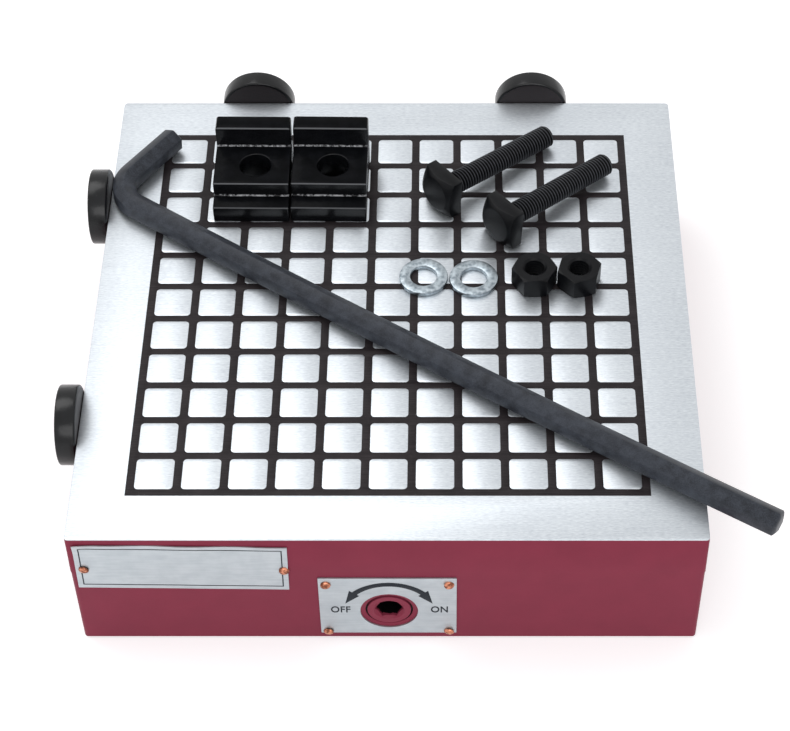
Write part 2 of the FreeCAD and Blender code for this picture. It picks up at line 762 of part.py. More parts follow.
def clamp_plate(x, y, turn):
    """Stepped clamp with its heel up and its nose towards the front."""
    y1 = clamp_nose
    y2 = y1 + clamp_waist
    y3 = y2 + clamp_heel
    points = [(0, 0), (y3, 0), (y3, clamp_heel_height), (y2, clamp_heel_height),
              (y2, clamp_waist_height), (y1, clamp_waist_height), (y1, clamp_nose_height),
              (0, clamp_nose_height)]
    outline = Part.makePolygon([Vec(0, py, pz) for py, pz in points + points[:1]])
    body = Part.Face(outline).extrude(Vec(clamp_width, 0, 0))
    rounded = [edge for edge in body.Edges
               if edge.BoundBox.XLength < 1e-4 and edge.BoundBox.ZMin > clamp_waist_height + 1e-4
               or edge.BoundBox.ZMin > clamp_heel_height - 1e-4]
    body = body.makeFillet(clamp_edge_radius, rounded)
    body.translate(Vec(-clamp_width / 2, 0, 0))
    body = body.cut(rod(clamp_hole / 2, clamp_waist_height,
                        (clamp_hole_offset, y1 + clamp_waist / 2, 0), (0, 0, 1)))
    body.rotate(Vec(0, 0, 0), Vec(0, 0, 1), turn)
    body.translate(Vec(x, y, body_height + kit_gap))
    return body


def cone_ended(corner, flat, height, both):
    """Round bar with a sloping edge, used to chamfer the corners of heads and nuts."""
    drop = (corner - flat) * math.tan(math.radians(corner_slope))
    start = [(flat, 0), (corner, drop)] if both else [(corner, 0)]
    profile = [(0, 0)] + start + [(corner, height - drop), (flat, height), (0, height)]
    return turned(profile, (0, 0, 0), (0, 0, 1))


def bolt_places():
    """The second bolt lies beside the first and a little further along it."""
    first_turn, second_turn = bolt_turns
    turn = math.radians(first_turn)
    across = bolt_head_size + bolt_side_gap
    x = bolt_first_x + bolt_step_along * math.cos(turn) + across * math.sin(turn)
    y = bolt_first_y + bolt_step_along * math.sin(turn) - across * math.cos(turn)
    return [(bolt_first_x, bolt_first_y, first_turn), (x, y, second_turn)]


def tee_bolt(x, y, turn):
    """Square-headed bolt lying on one flat of its head and the tip of its thread."""
    half = bolt_head_size / 2
    square = prism([(half, -half), (half, half), (-half, half), (-half, -half)], bolt_head_height, 0)
    corner = half * math.sqrt(2)
    head = square.common(cone_ended(corner, bolt_head_flat / 2, bolt_head_height, False))
    radius = bolt_thread / 2
    tip = bolt_tip_chamfer
    stem = turned([(0, 0), (radius, 0), (radius, bolt_length - tip), (radius - tip, bolt_length),
                   (0, bolt_length)], (0, 0, 0), (0, 0, -1))
    bolt = fused([head, stem])
    # Lie it down along +X, lower its thread end onto the plate, then turn it.
    bolt.rotate(Vec(0, 0, 0), Vec(0, 1, 0), -90)
    dip = math.degrees(math.asin((half - radius) / bolt_length))
    bolt.rotate(Vec(0, 0, 0), Vec(0, 1, 0), dip)
    bolt.rotate(Vec(0, 0, 0), Vec(0, 0, 1), turn)
    bolt.translate(Vec(x, y, body_height + kit_gap + half))
    return bolt


def washer_places():
    second_x = washer_first_x + washer_diameter + washer_side_gap
    return [(washer_first_x, washer_first_y), (second_x, washer_first_y - washer_offset_y)]


def washer(x, y):
    ring = rod(washer_diameter / 2, washer_thickness, (x, y, body_height + kit_gap), (0, 0, 1))
    return ring.cut(rod(washer_hole / 2, washer_thickness, (x, y, body_height + kit_gap), (0, 0, 1)))


def nut_places():
    washer_edge = washer_places()[-1][0] + washer_diameter / 2
    first_x = washer_edge + nut_washer_gap + nut_size / 2
    step = nut_size + nut_side_gap
    return [(first_x + step * index, nut_row_y, turn) for index, turn in enumerate(nut_turns)]


def nut(x, y, turn):
    body = prism(hexagon(nut_size), nut_height, 0)
    corner = nut_size / math.sqrt(3)
    body = body.common(cone_ended(corner, nut_size / 2, nut_height, True))
    bore = nut_bore / 2
    mouth = bolt_thread / 2
    lead = mouth - bore
    tool = turned([(0, 0), (mouth, 0), (bore, lead), (bore, nut_height - lead), (mouth, nut_height),
                   (0, nut_height)], (0, 0, 0), (0, 0, 1))
    body = body.cut(tool)
    body.rotate(Vec(0, 0, 0), Vec(0, 0, 1), turn)
    body.translate(Vec(x, y, body_height + kit_gap))
    return body


def build():
    os.makedirs("parts", exist_ok=True)
    lattice = resin_lattice(body_height - resin_depth, resin_depth)
    save("housing", [housing()])
    save("pole_plate", [pole_plate(lattice)])
    save("pole_resin", [lattice])
    save("plate_screws", [cap_screw(plate_screw, seat, (0, 0, 1)) for seat in plate_screw_seats()])
    save("guide_strips", guide_strips())
    save("strip_screws", [flat_screw(strip_screw, seat, (0, 0, -1)) for seat in strip_screw_seats()])
    save("front_bush", [front_bush()])
    save("shaft_oring", [shaft_oring()])
    save("rear_bearing", [rear_bearing()])
    save("bearing_screws", [cap_screw(bearing_screw, seat, (0, 0, -1)) for seat in bearing_screw_seats()])
    save("limit_bridge", [limit_bridge()])
    save("bridge_screws", [cap_screw(bridge_screw, seat, (0, -1, 0)) for seat in bridge_screw_seats()])
    save("switch_plate", [switch_plate()])
    save("switch_rivets", [rivet(x, z, switch_plate_thickness) for x, z in switch_rivet_places()])
    save("name_plate", [name_plate()])
    save("name_rivets", [rivet(x, z, name_plate_thickness) for x, z in name_rivet_places()])
    save("crank_shaft", [crank_shaft()])
    save("limit_pin", [limit_pin()])
    save("yoke_plate", [yoke()])
    save("drive_jaw_left", [drive_jaw(-1)])
    save("drive_jaw_right", [drive_jaw(1)])
    save("jaw_screws", [flat_screw(jaw_screw, seat, (0, 0, -1)) for seat in jaw_screw_seats()])
    for number, x in enumerate(row_places(), start=1):
        save("magnet_row_%02d" % number, magnet_row(x))
    save("row_spacers", row_spacers())
    stop_screws = []
    for name, seat, outward, turn in stop_sites():
        save(name, [stop_disc(seat, outward, turn)])
        inward = [-component for component in outward]
        stop_screws.append(cap_screw(stop_screw, stop_screw_seat(seat, outward), inward))
    save("stop_screws", stop_screws)
    save("hex_wrench", [hex_wrench()])
    for number, place in enumerate(clamp_places(), start=1):
        save("clamp_plate_%d" % number, [clamp_plate(*place)])
    for number, place in enumerate(bolt_places(), start=1):
        save("tee_bolt_%d" % number, [tee_bolt(*place)])
    for number, place in enumerate(washer_places(), start=1):
        save("washer_%d" % number, [washer(*place)])
    for number, place in enumerate(nut_places(), start=1):
        save("nut_%d" % number, [nut(*place)])


build()
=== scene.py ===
import json
import math
import bmesh
import bpy
from mathutils import Matrix, Vector, noise


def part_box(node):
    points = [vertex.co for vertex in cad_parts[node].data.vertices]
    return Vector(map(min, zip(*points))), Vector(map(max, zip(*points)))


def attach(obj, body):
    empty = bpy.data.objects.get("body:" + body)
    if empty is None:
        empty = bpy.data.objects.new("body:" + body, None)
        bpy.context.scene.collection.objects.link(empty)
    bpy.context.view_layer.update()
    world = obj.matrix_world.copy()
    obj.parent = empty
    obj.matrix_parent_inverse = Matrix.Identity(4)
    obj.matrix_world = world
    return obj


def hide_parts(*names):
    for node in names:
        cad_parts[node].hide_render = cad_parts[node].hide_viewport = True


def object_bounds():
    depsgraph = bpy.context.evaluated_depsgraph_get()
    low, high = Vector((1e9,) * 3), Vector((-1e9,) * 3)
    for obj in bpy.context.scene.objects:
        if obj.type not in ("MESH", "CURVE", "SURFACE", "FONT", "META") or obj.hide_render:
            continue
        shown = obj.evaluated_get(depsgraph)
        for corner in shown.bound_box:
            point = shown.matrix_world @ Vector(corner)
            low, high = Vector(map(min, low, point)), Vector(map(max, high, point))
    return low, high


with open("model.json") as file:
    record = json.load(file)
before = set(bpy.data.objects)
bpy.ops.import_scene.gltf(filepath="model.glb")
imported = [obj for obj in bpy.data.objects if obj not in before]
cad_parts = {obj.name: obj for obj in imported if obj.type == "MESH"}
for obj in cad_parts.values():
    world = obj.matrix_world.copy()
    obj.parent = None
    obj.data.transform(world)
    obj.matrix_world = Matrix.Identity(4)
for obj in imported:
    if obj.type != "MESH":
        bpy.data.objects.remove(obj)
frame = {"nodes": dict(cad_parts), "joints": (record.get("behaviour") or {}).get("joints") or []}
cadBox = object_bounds()
mm = 0.001
print("frame loaded")


# shader helpers

class Wire:
    # one output socket; arithmetic on it adds Math nodes
    def __init__(self, graph, socket):
        self.graph = graph
        self.socket = socket

    def step(self, operation, first, second):
        return self.graph.node("ShaderNodeMath", {"operation": operation}, {0: first, 1: second})

    def __add__(self, other):
        return self.step("ADD", self, other)

    def __radd__(self, other):
        return self.step("ADD", other, self)

    def __sub__(self, other):
        return self.step("SUBTRACT", self, other)

    def __rsub__(self, other):
        return self.step("SUBTRACT", other, self)

    def __mul__(self, other):
        return self.step("MULTIPLY", self, other)

    def __rmul__(self, other):
        return self.step("MULTIPLY", other, self)

    def __or__(self, other):
        return self.step("MAXIMUM", self, other)


class Graph:
    # one node tree; a Wire given as a value becomes a link
    def __init__(self, tree):
        self.tree = tree

    def fill(self, made, key, value):
        if isinstance(value, Wire):
            self.tree.links.new(value.socket, made.inputs[key])
        else:
            made.inputs[key].default_value = value

    def node(self, kind, settings, values, output=0):
        made = self.tree.nodes.new(kind)
        for key, value in settings.items():
            setattr(made, key, value)
        for key, value in values.items():
            self.fill(made, key, value)
        return Wire(self, made.outputs[output])

    def ray(self, name):
        return self.node("ShaderNodeLightPath", {}, {}, name)


class Finish(Graph):
    # one material
    def __init__(self, name):
        self.material = bpy.data.materials.new(name)
        self.material.use_nodes = True
        super().__init__(self.material.node_tree)
        self.shader = self.tree.nodes["Principled BSDF"]

    def spot(self):
        return self.node("ShaderNodeTexCoord", {}, {}, "Object")

    def axis(self, name):
        return self.node("ShaderNodeSeparateXYZ", {}, {0: self.spot()}, name)

    def stretch(self, amounts):
        return self.node("ShaderNodeVectorMath", {"operation": "MULTIPLY"}, {0: self.spot(), 1: amounts})

    def cloud(self, scale, detail=3.0, roughness=0.55, vector=None):
        values = {"Vector": vector if vector else self.spot(), "Scale": scale, "Detail": detail,
                  "Roughness": roughness}
        return self.node("ShaderNodeTexNoise", {}, values, "Fac")

    def streaks(self, amounts, detail=2.0, roughness=0.5):
        # noise drawn out along an axis: the smaller an amount, the longer that way
        return self.cloud(1.0, detail, roughness, self.stretch(amounts))

    def cells(self, scale):
        return self.node("ShaderNodeTexVoronoi", {"feature": "F1"},
                         {"Vector": self.spot(), "Scale": scale}, "Distance")

    def rise(self, value, low, high):
        return self.node("ShaderNodeMapRange", {"interpolation_type": "SMOOTHSTEP"},
                         {0: value, 1: low, 2: high, 3: 0.0, 4: 1.0})

    def span(self, value, low, high):
        return self.node("ShaderNodeMapRange", {}, {0: value, 1: 0.0, 2: 1.0, 3: low, 4: high})

    def band(self, value, middle, reach):
        away = self.node("ShaderNodeMath", {"operation": "ABSOLUTE"}, {0: value - middle})
        return 1.0 - self.rise(away, reach * 0.4, reach)

    def blend(self, factor, first, second):
        return self.node("ShaderNodeMix", {"data_type": "RGBA"}, {0: factor, 6: first, 7: second}, 2)

    def bump(self, height, strength, distance):
        values = {"Height": height, "Strength": strength, "Distance": distance}
        return self.node("ShaderNodeBump", {}, values)

    def set(self, **values):
        for key, value in values.items():
            self.fill(self.shader, key.replace("_", " "), value)
        return self.material


def tone(red, green, blue):
    # display colour, 0 to 255, as linear light
    linear = [((c / 255 + 0.055) / 1.055) ** 2.4 if c > 10 else c / 255 / 12.92 for c in (red, green, blue)]
    return (*linear, 1.0)


def dimmer(colour, amount):
    return (*[c * amount for c in colour[:3]], 1.0)


# finishes

paintLook = {"colour": tone(133, 50, 69), "shade": 0.9, "mottle": 60.0, "drift": 14.0, "specks": 2600.0,
             "speckLight": 1.35, "peel": 520.0, "grain": 1900.0, "roughness": 0.42, "specular": 0.1,
             "relief": 0.16}


def makePaint():
    f = Finish("wineEnamel")
    k = paintLook
    patches = f.cloud(k["mottle"], 4.0) * 0.6 + f.cloud(k["drift"], 2.0) * 0.4
    colour = f.blend(f.rise(patches, 0.3, 0.7), dimmer(k["colour"], k["shade"]), k["colour"])
    specks = f.rise(f.cloud(k["specks"], 2.0), 0.66, 0.8) * 0.35
    colour = f.blend(specks, colour, dimmer(k["colour"], k["speckLight"]))
    peel = f.cloud(k["peel"], 2.0) + f.cloud(k["grain"], 2.0) * 0.4
    return f.set(Base_Color=colour, Roughness=f.span(patches, k["roughness"] - 0.06, k["roughness"] + 0.06),
                 Specular_IOR_Level=k["specular"], Normal=f.bump(peel, k["relief"], 0.2 * mm))


steelLook = {"light": tone(222, 227, 231), "dark": tone(188, 194, 201), "roughness": 0.4,
             "dashes": (380.0, 2300.0, 1.0), "lines": (30.0, 2600.0, 1.0), "scratches": (60.0, 5200.0, 1.0),
             "drift": 16.0, "metallic": 0.85, "relief": 0.22}


def makeGroundSteel():
    f = Finish("groundSteel")
    k = steelLook
    dashes = f.streaks(k["dashes"], 3.0, 0.6)
    lines = f.streaks(k["lines"])
    grain = dashes * 0.6 + lines * 0.25 + f.cloud(k["drift"], 2.0) * 0.15
    colour = f.blend(f.rise(grain, 0.3, 0.7), k["dark"], k["light"])
    scratches = f.rise(f.streaks(k["scratches"]), 0.68, 0.8) * 0.5
    colour = f.blend(scratches, colour, dimmer(k["light"], 1.1))
    return f.set(Base_Color=colour, Metallic=k["metallic"],
                 Roughness=f.span(grain, k["roughness"] - 0.1, k["roughness"] + 0.14),
                 Normal=f.bump(dashes + lines, k["relief"], 0.06 * mm))


resinLook = {"colour": tone(34, 30, 32), "light": tone(52, 47, 49), "speck": tone(90, 84, 84),
             "roughness": 0.45, "specular": 0.12, "lines": (60.0, 2400.0, 1.0)}


def makeResin():
    f = Finish("castResin")
    k = resinLook
    lines = f.streaks(k["lines"])
    specks = f.rise(f.cloud(1500.0, 2.0), 0.6, 0.75)
    colour = f.blend(f.rise(lines * 0.6 + f.cloud(90.0) * 0.4, 0.35, 0.7), k["colour"], k["light"])
    colour = f.blend(specks * 0.25, colour, k["speck"])
    return f.set(Base_Color=colour, Roughness=f.span(lines, k["roughness"] - 0.08, k["roughness"] + 0.1),
                 Specular_IOR_Level=k["specular"],
                 Normal=f.bump(f.cloud(700.0) + lines * 0.5, 0.15, 0.1 * mm))


plateLook = {"colour": tone(188, 194, 198), "dark": tone(172, 179, 184), "smudge": tone(158, 165, 172),
             "roughness": 0.42, "metallic": 0.9, "rolled": (60.0, 60.0, 700.0), "mottle": 120.0}


def makePlateMetal():
    f = Finish("satinAluminium")
    k = plateLook
    rolled = f.streaks(k["rolled"], 3.0, 0.55)
    mottle = f.cloud(k["mottle"], 3.0)
    grain = rolled * 0.5 + mottle * 0.5
    colour = f.blend(f.rise(grain, 0.3, 0.7), k["dark"], k["colour"])
    smudge = f.rise(f.cloud(55.0, 4.0, 0.65), 0.6, 0.78) * 0.35
    colour = f.blend(smudge * 0.6, colour, k["smudge"])
    return f.set(Base_Color=colour, Metallic=k["metallic"],
                 Roughness=f.span(grain, k["roughness"] - 0.08, k["roughness"] + 0.12),
                 Normal=f.bump(rolled + mottle, 0.12, 0.1 * mm))


inkLook = {"colour": tone(42, 46, 52), "highlights": tone(92, 98, 104), "roughness": 0.5, "wornRoughness": 0.65}


def makeInk():
    f = Finish("darkInk")
    k = inkLook
    wear = f.rise(f.cloud(900.0, 3.0), 0.55, 0.8) * 0.3
    return f.set(Base_Color=f.blend(wear, k["colour"], k["highlights"]), Specular_IOR_Level=0.1,
                 Roughness=f.span(wear, k["roughness"], k["wornRoughness"]))


copperLook = {"colour": tone(205, 136, 108), "dark": tone(96, 54, 40), "roughness": 0.28}


def makeCopper():
    f = Finish("copperRivet")
    k = copperLook
    stain = f.rise(f.cloud(520.0, 3.0), 0.4, 0.62)
    colour = f.blend(stain * 0.85, k["colour"], k["dark"])
    return f.set(Base_Color=colour, Metallic=1.0, Roughness=f.span(stain, k["roughness"], 0.55),
                 Normal=f.bump(f.cloud(900.0, 2.0), 0.35, 0.2 * mm))


lacquerLook = {"colour": tone(9, 10, 12), "light": tone(16, 17, 20), "roughness": 0.2, "lumps": 170.0}


def makeLacquer(name, highlights, specular):
    f = Finish(name)
    k = lacquerLook
    lumps = f.cloud(k["lumps"], 3.0, 0.5)
    fine = f.cloud(1200.0, 2.0)
    colour = f.blend(f.rise(lumps, 0.3, 0.75), k["colour"], k["light"])
    roughness = f.span(fine, k["roughness"] - 0.06, k["roughness"] + 0.12)
    # each mask lays its colour over the lacquer; for the clamps these are painted highlights
    for mask, shade in highlights(f) if highlights else ():
        colour = f.blend(mask, colour, shade)
    return f.set(Base_Color=colour, Roughness=roughness, Specular_IOR_Level=specular,
                 Normal=f.bump(lumps + fine * 0.12, 0.3, 0.6 * mm))


turnedLook = {"dark": tone(26, 24, 26), "light": tone(52, 46, 48), "lines": (1900.0, 40.0, 1900.0)}


def makeTurnedFace():
    # the machined inner face of a black disc
    f = Finish("turnedFace")
    k = turnedLook
    lines = f.streaks(k["lines"])
    colour = f.blend(f.rise(lines, 0.3, 0.7), k["dark"], k["light"])
    return f.set(Base_Color=colour, Metallic=0.4, Roughness=f.span(lines, 0.35, 0.55),
                 Specular_IOR_Level=0.3, Normal=f.bump(lines, 0.3, 0.1 * mm))


oxideLook = {"colour": tone(5, 6, 8), "light": tone(16, 17, 20), "roughness": 0.34, "specular": 0.14,
             "smear": 160.0, "fine": 1700.0, "relief": 0.12}


def makeOxide(name, colour, light, roughness):
    f = Finish(name)
    k = oxideLook
    smear = f.cloud(k["smear"], 4.0, 0.6)
    fine = f.cloud(k["fine"], 3.0)
    shade = f.blend(f.rise(smear * 0.6 + fine * 0.4, 0.3, 0.72), colour, light)
    return f.set(Base_Color=shade, Roughness=f.span(smear, roughness - 0.08, roughness + 0.12),
                 Specular_IOR_Level=k["specular"], Normal=f.bump(fine + smear * 0.5, k["relief"], 0.2 * mm))


# the crest colour is a painted highlight, the root colour painted shade
threadLook = {"crest": (5.62 * mm, 5.92 * mm), "root": (5.0 * mm, 5.6 * mm),
              "stemTop": (-1.2 * mm, -0.4 * mm), "crestHighlight": tone(92, 94, 100), "rootShade": tone(3, 3, 4),
              "specular": 0.2}


def makeThreadOxide():
    # painted highlight on a bolt's thread crests, painted shade in its roots; the bolt's own axis is Z
    f = Finish("threadOxide")
    k = threadLook
    x, y = f.axis("X"), f.axis("Y")
    reach = f.node("ShaderNodeMath", {"operation": "SQRT"}, {0: x * x + y * y})
    onStem = 1.0 - f.rise(f.axis("Z"), *k["stemTop"])
    crest = f.rise(reach, *k["crest"]) * onStem
    patches = f.span(f.cloud(260.0, 3.0, 0.6), 0.35, 1.0)
    smear = f.cloud(oxideLook["smear"], 4.0, 0.6)
    shade = f.blend(f.rise(smear, 0.3, 0.72), oxideLook["colour"], oxideLook["light"])
    # painted highlight along the crests, in patches
    shade = f.blend(crest * patches * 0.8, shade, k["crestHighlight"])
    root = (1.0 - f.rise(reach, *k["root"])) * onStem
    # painted shade in the thread's roots
    shade = f.blend(root, shade, k["rootShade"])
    relief = f.bump(f.cloud(oxideLook["fine"], 3.0) + smear * 0.5, oxideLook["relief"], 0.2 * mm)
    return f.set(Base_Color=shade, Roughness=f.span(smear, 0.26, 0.46), Specular_IOR_Level=k["specular"],
                 Normal=relief)


zincLook = {"colour": tone(182, 192, 198), "dark": tone(112, 122, 130), "roughness": 0.3, "spangle": 420.0,
            "mottle": 380.0, "relief": 0.25}


def makeZinc():
    f = Finish("zincPlate")
    k = zincLook
    spangle = f.cells(k["spangle"])
    mottle = f.cloud(k["mottle"], 4.0, 0.6)
    colour = f.blend(f.rise(mottle * 0.7 + spangle * 0.3, 0.25, 0.7), k["dark"], k["colour"])
    return f.set(Base_Color=colour, Metallic=1.0,
                 Roughness=f.span(mottle, k["roughness"] - 0.06, k["roughness"] + 0.16),
                 Normal=f.bump(mottle + f.cloud(1600.0) * 0.4, k["relief"], 0.2 * mm))


def makePlain(name, colour, metallic, roughness, scale):
    # machined or cast parts inside the body
    f = Finish(name)
    marks = f.cloud(scale, 3.0)
    lines = f.streaks((scale * 2, scale / 6, scale * 2))
    shade = f.blend(f.rise(marks * 0.5 + lines * 0.5, 0.3, 0.7), dimmer(colour, 0.8), colour)
    return f.set(Base_Color=shade, Metallic=metallic,
                 Roughness=f.span(lines, roughness - 0.08, roughness + 0.12),
                 Normal=f.bump(lines + marks, 0.15, 0.2 * mm))


paint = makePaint()
plateSteel = makeGroundSteel()
resin = makeResin()
aluminium = makePlateMetal()
ink = makeInk()
copper = makeCopper()
lacquer = makeLacquer("blackLacquer", None, 0.3)
turnedFace = makeTurnedFace()
oxide = makeOxide("blackOxide", oxideLook["colour"], oxideLook["light"], oxideLook["roughness"])
threadOxide = makeThreadOxide()
zinc = makeZinc()
screwSteel = makeOxide("screwSteel", tone(34, 35, 38), tone(62, 64, 70), 0.4)
brass = makePlain("stripBrass", tone(196, 164, 96), 1.0, 0.35, 240.0)
bronze = makePlain("bearingBronze", tone(168, 128, 78), 1.0, 0.4, 200.0)
machined = makePlain("machinedSteel", tone(166, 170, 174), 1.0, 0.4, 260.0)
ferrite = makePlain("ferrite", tone(58, 58, 62), 0.1, 0.6, 320.0)
# rubber for the O-ring; the same finish is painted shade inside the collar's mouth
rubberAndPaintedShade = makePlain("sealRubberAndPaintedShade", tone(24, 24, 24), 0.0, 0.7, 500.0)
print("finishes made")


# mesh helpers

def linked(name, data):
    made = bpy.data.objects.new(name, data)
    bpy.context.scene.collection.objects.link(made)
    return made


def newObject(name, mesh, *materials):
    made = linked(name, mesh)
    for material in materials:
        mesh.materials.append(material)
    return made


def meshFrom(name, points, faces, *materials):
    mesh = bpy.data.meshes.new(name)
    mesh.from_pydata([Vector(p) for p in points], [], faces)
    mesh.validate()
    return newObject(name, mesh, *materials)


def smooth(made, angle=32.0):
    made.data.shade_smooth()
    made.data.set_sharp_from_angle(angle=math.radians(angle))
    return made


def applied(made):
    # bakes the modifiers into the mesh
    seen = bpy.context.evaluated_depsgraph_get()
    mesh = bpy.data.meshes.new_from_object(made.evaluated_get(seen))
    made.modifiers.clear()
    old = made.data
    made.data = mesh
    if isinstance(old, bpy.types.Mesh):
        bpy.data.meshes.remove(old)
    return made


def combined(made, others, operation):
    for other in others:
        step = made.modifiers.new("step", "BOOLEAN")
        step.operation = operation
        step.solver = "EXACT"
        step.object = other
    bpy.context.view_layer.update()
    applied(made)
    for other in others:
        bpy.data.objects.remove(other)
    return made


def bevelled(made, width, segments=3, angle=28.0):
    step = made.modifiers.new("edges", "BEVEL")
    step.width = width
    step.segments = segments
    step.limit_method = "ANGLE"
    step.angle_limit = math.radians(angle)
    step.use_clamp_overlap = True
    bpy.context.view_layer.update()
    applied(made)
    return smooth(made)


def joined(name, pieces):
    data = bmesh.new()
    materials = []
    for piece in pieces:
        piece.data.transform(piece.matrix_world)
        start = len(data.faces)
        slots = []
        for material in piece.data.materials:
            if material not in materials:
                materials.append(material)
            slots.append(materials.index(material))
        data.from_mesh(piece.data)
        data.faces.ensure_lookup_table()
        for face in data.faces[start:]:
            face.material_index = slots[face.material_index] if slots else 0
        bpy.data.objects.remove(piece)
    mesh = bpy.data.meshes.new(name)
    data.to_mesh(mesh)
    data.free()
    return newObject(name, mesh, *materials)


def welded(made, outward):
    # joins the points that fall together; outward also turns every face out
    data = bmesh.new()
    data.from_mesh(made.data)
    bmesh.ops.remove_doubles(data, verts=data.verts, dist=1e-7)
    if outward:
        bmesh.ops.recalc_face_normals(data, faces=data.faces)
    data.to_mesh(made.data)
    data.free()
    return smooth(made)


def lathe(name, profile, material, segments=96):
    # turns (radius, height) points about Z
    points, faces = [], []
    for radius, height in profile:
        for step in range(segments):
            turn = math.tau * step / segments
            points.append((radius * math.cos(turn), radius * math.sin(turn), height))
    for row in range(len(profile) - 1):
        for step in range(segments):
            after = (step + 1) % segments
            faces.append((row * segments + step, row * segments + after,
                          (row + 1) * segments + after, (row + 1) * segments + step))
    return welded(meshFrom(name, points, faces, material), True)


def cutter(name, radius, low, high, material, segments):
    # a plain round bar, to be taken away from a piece
    return lathe(name, [(0, low), (radius, low), (radius, high), (0, high)], material, segments)


def arc(centre, radius, start, end, count):
    return [(centre[0] + radius * math.cos(math.radians(start + (end - start) * i / count)),
             centre[1] + radius * math.sin(math.radians(start + (end - start) * i / count)))
            for i in range(count + 1)]


def roundedSquare(x, y, halfX, halfY, radius, steps=5):
    spots = [(x + halfX - radius, y + halfY - radius, 0), (x - halfX + radius, y + halfY - radius, 90),
             (x - halfX + radius, y - halfY + radius, 180), (x + halfX - radius, y - halfY + radius, 270)]
    outline = []
    for cx, cy, start in spots:
        outline += arc((cx, cy), radius, start, start + 90, steps)
    return outline


def meshOfCurve(curve):
    # the mesh of a curve or a text; the curve itself goes
    shape = linked(curve.name, curve)
    bpy.context.view_layer.update()
    seen = bpy.context.evaluated_depsgraph_get()
    mesh = bpy.data.meshes.new_from_object(shape.evaluated_get(seen))
    bpy.data.objects.remove(shape)
    bpy.data.curves.remove(curve)
    mesh.materials.clear()
    return mesh


def slab(name, outlines, low, high, edge, material):
    # flat plate from closed outlines; an outline inside another is a hole
    flat = bpy.data.curves.new(name, "CURVE")
    flat.dimensions = "2D"
    flat.fill_mode = "BOTH"
    flat.extrude = (high - low) / 2 - edge
    flat.bevel_depth = edge
    flat.bevel_resolution = 1
    flat.offset = -edge
    for outline in outlines:
        line = flat.splines.new("POLY")
        line.points.add(len(outline) - 1)
        for spot, (x, y) in zip(line.points, outline):
            spot.co = (x, y, 0, 1)
        line.use_cyclic_u = True
    mesh = meshOfCurve(flat)
    mesh.transform(Matrix.Translation((0, 0, (low + high) / 2)))
    return welded(newObject(name, mesh, material), False)


def turned(degrees, axis):
    return Matrix.Rotation(math.radians(degrees), 4, axis)


def moved(made, matrix):
    made.data.transform(matrix)
    made.data.update()
    return made


def middle(node):
    low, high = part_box(node)
    return (low + high) / 2


def standOn(node, turn):
    # the middle of the underside of a node, turned about the upright
    low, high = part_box(node)
    spot = ((low.x + high.x) / 2, (low.y + high.y) / 2, low.z)
    return Matrix.Translation(spot) @ turned(turn, "Z")


def settle(made, body, slotName, *nodes):
    # the piece rides on its body and stands for its CAD nodes
    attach(made, body)
    if nodes:
        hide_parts(*nodes)
    return made


def coat(node, *materials):
    shown = frame["nodes"][node]
    shown.data.materials.clear()
    for material in materials:
        shown.data.materials.append(material)
    return shown


def snapped(value, limit, start):
    # a coordinate beyond start goes to the limit on its own side
    return math.copysign(limit, value) if abs(value) > start else value


standing = turned(90, "X")  # XY outlines become X and Z, facing the front


# pole plate, poles and resin

poleGrid = {"poles": 11, "pole": 18.2 * mm, "resin": 4.0 * mm, "corner": 1.9 * mm, "pocket": 10.0 * mm,
            "sunk": 0.04 * mm, "edge": 0.12 * mm, "resinEdge": 0.02 * mm, "plateEdge": 0.4 * mm,
            "plateCorner": 2.0 * mm}


def makePolePlate():
    k = poleGrid
    low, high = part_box("pole_plate")
    pitch = k["pole"] + k["resin"]
    reach = k["poles"] * pitch / 2 + k["resin"] / 2
    half = (high.x - low.x) / 2
    edge = k["plateEdge"]
    centres = [(index - (k["poles"] - 1) / 2) * pitch for index in range(k["poles"])]
    square = [(reach, -reach), (reach, reach), (-reach, reach), (-reach, -reach)]
    outer = roundedSquare(0, 0, half, half, k["plateCorner"])
    rim = slab("rim", [outer, square], low.z - edge, high.z, edge, plateSteel)
    for spot in rim.data.vertices:  # no rounding along the joint with the housing
        if spot.co.z < low.z + 2 * edge:
            spot.co.z = low.z
            spot.co.x = snapped(spot.co.x, half, half - edge * 1.1)
            spot.co.y = snapped(spot.co.y, half, half - edge * 1.1)
    rim.data.materials.append(paint)
    for face in rim.data.polygons:
        if abs(face.normal.z) < 0.3 and max(abs(face.center.x), abs(face.center.y)) > half - 1 * mm:
            face.material_index = 1
    for spot in rim.data.vertices:  # the edge round the lattice stays sharp
        if max(abs(spot.co.x), abs(spot.co.y)) < reach + 2 * edge:
            spot.co.x = snapped(spot.co.x, reach, reach - 0.01 * mm)
            spot.co.y = snapped(spot.co.y, reach, reach - 0.01 * mm)
    side = k["pole"] / 2
    windows = [roundedSquare(x, y, side, side, k["corner"]) for x in centres for y in centres]
    bottom = high.z - k["pocket"]
    poles = slab("poles", windows, bottom, high.z, k["edge"], plateSteel)
    plate = joined("pole_face", [rim, poles])
    smooth(plate)
    settle(plate, "body", "pole_steel", "pole_plate")
    filler = slab("resin_lattice", [square] + windows, bottom, high.z - k["sunk"], k["resinEdge"], resin)
    settle(filler, "body", "resin", "pole_resin")


makePolePlate()
print("pole plate made")


# switch plate, its arrow and words, and the collar

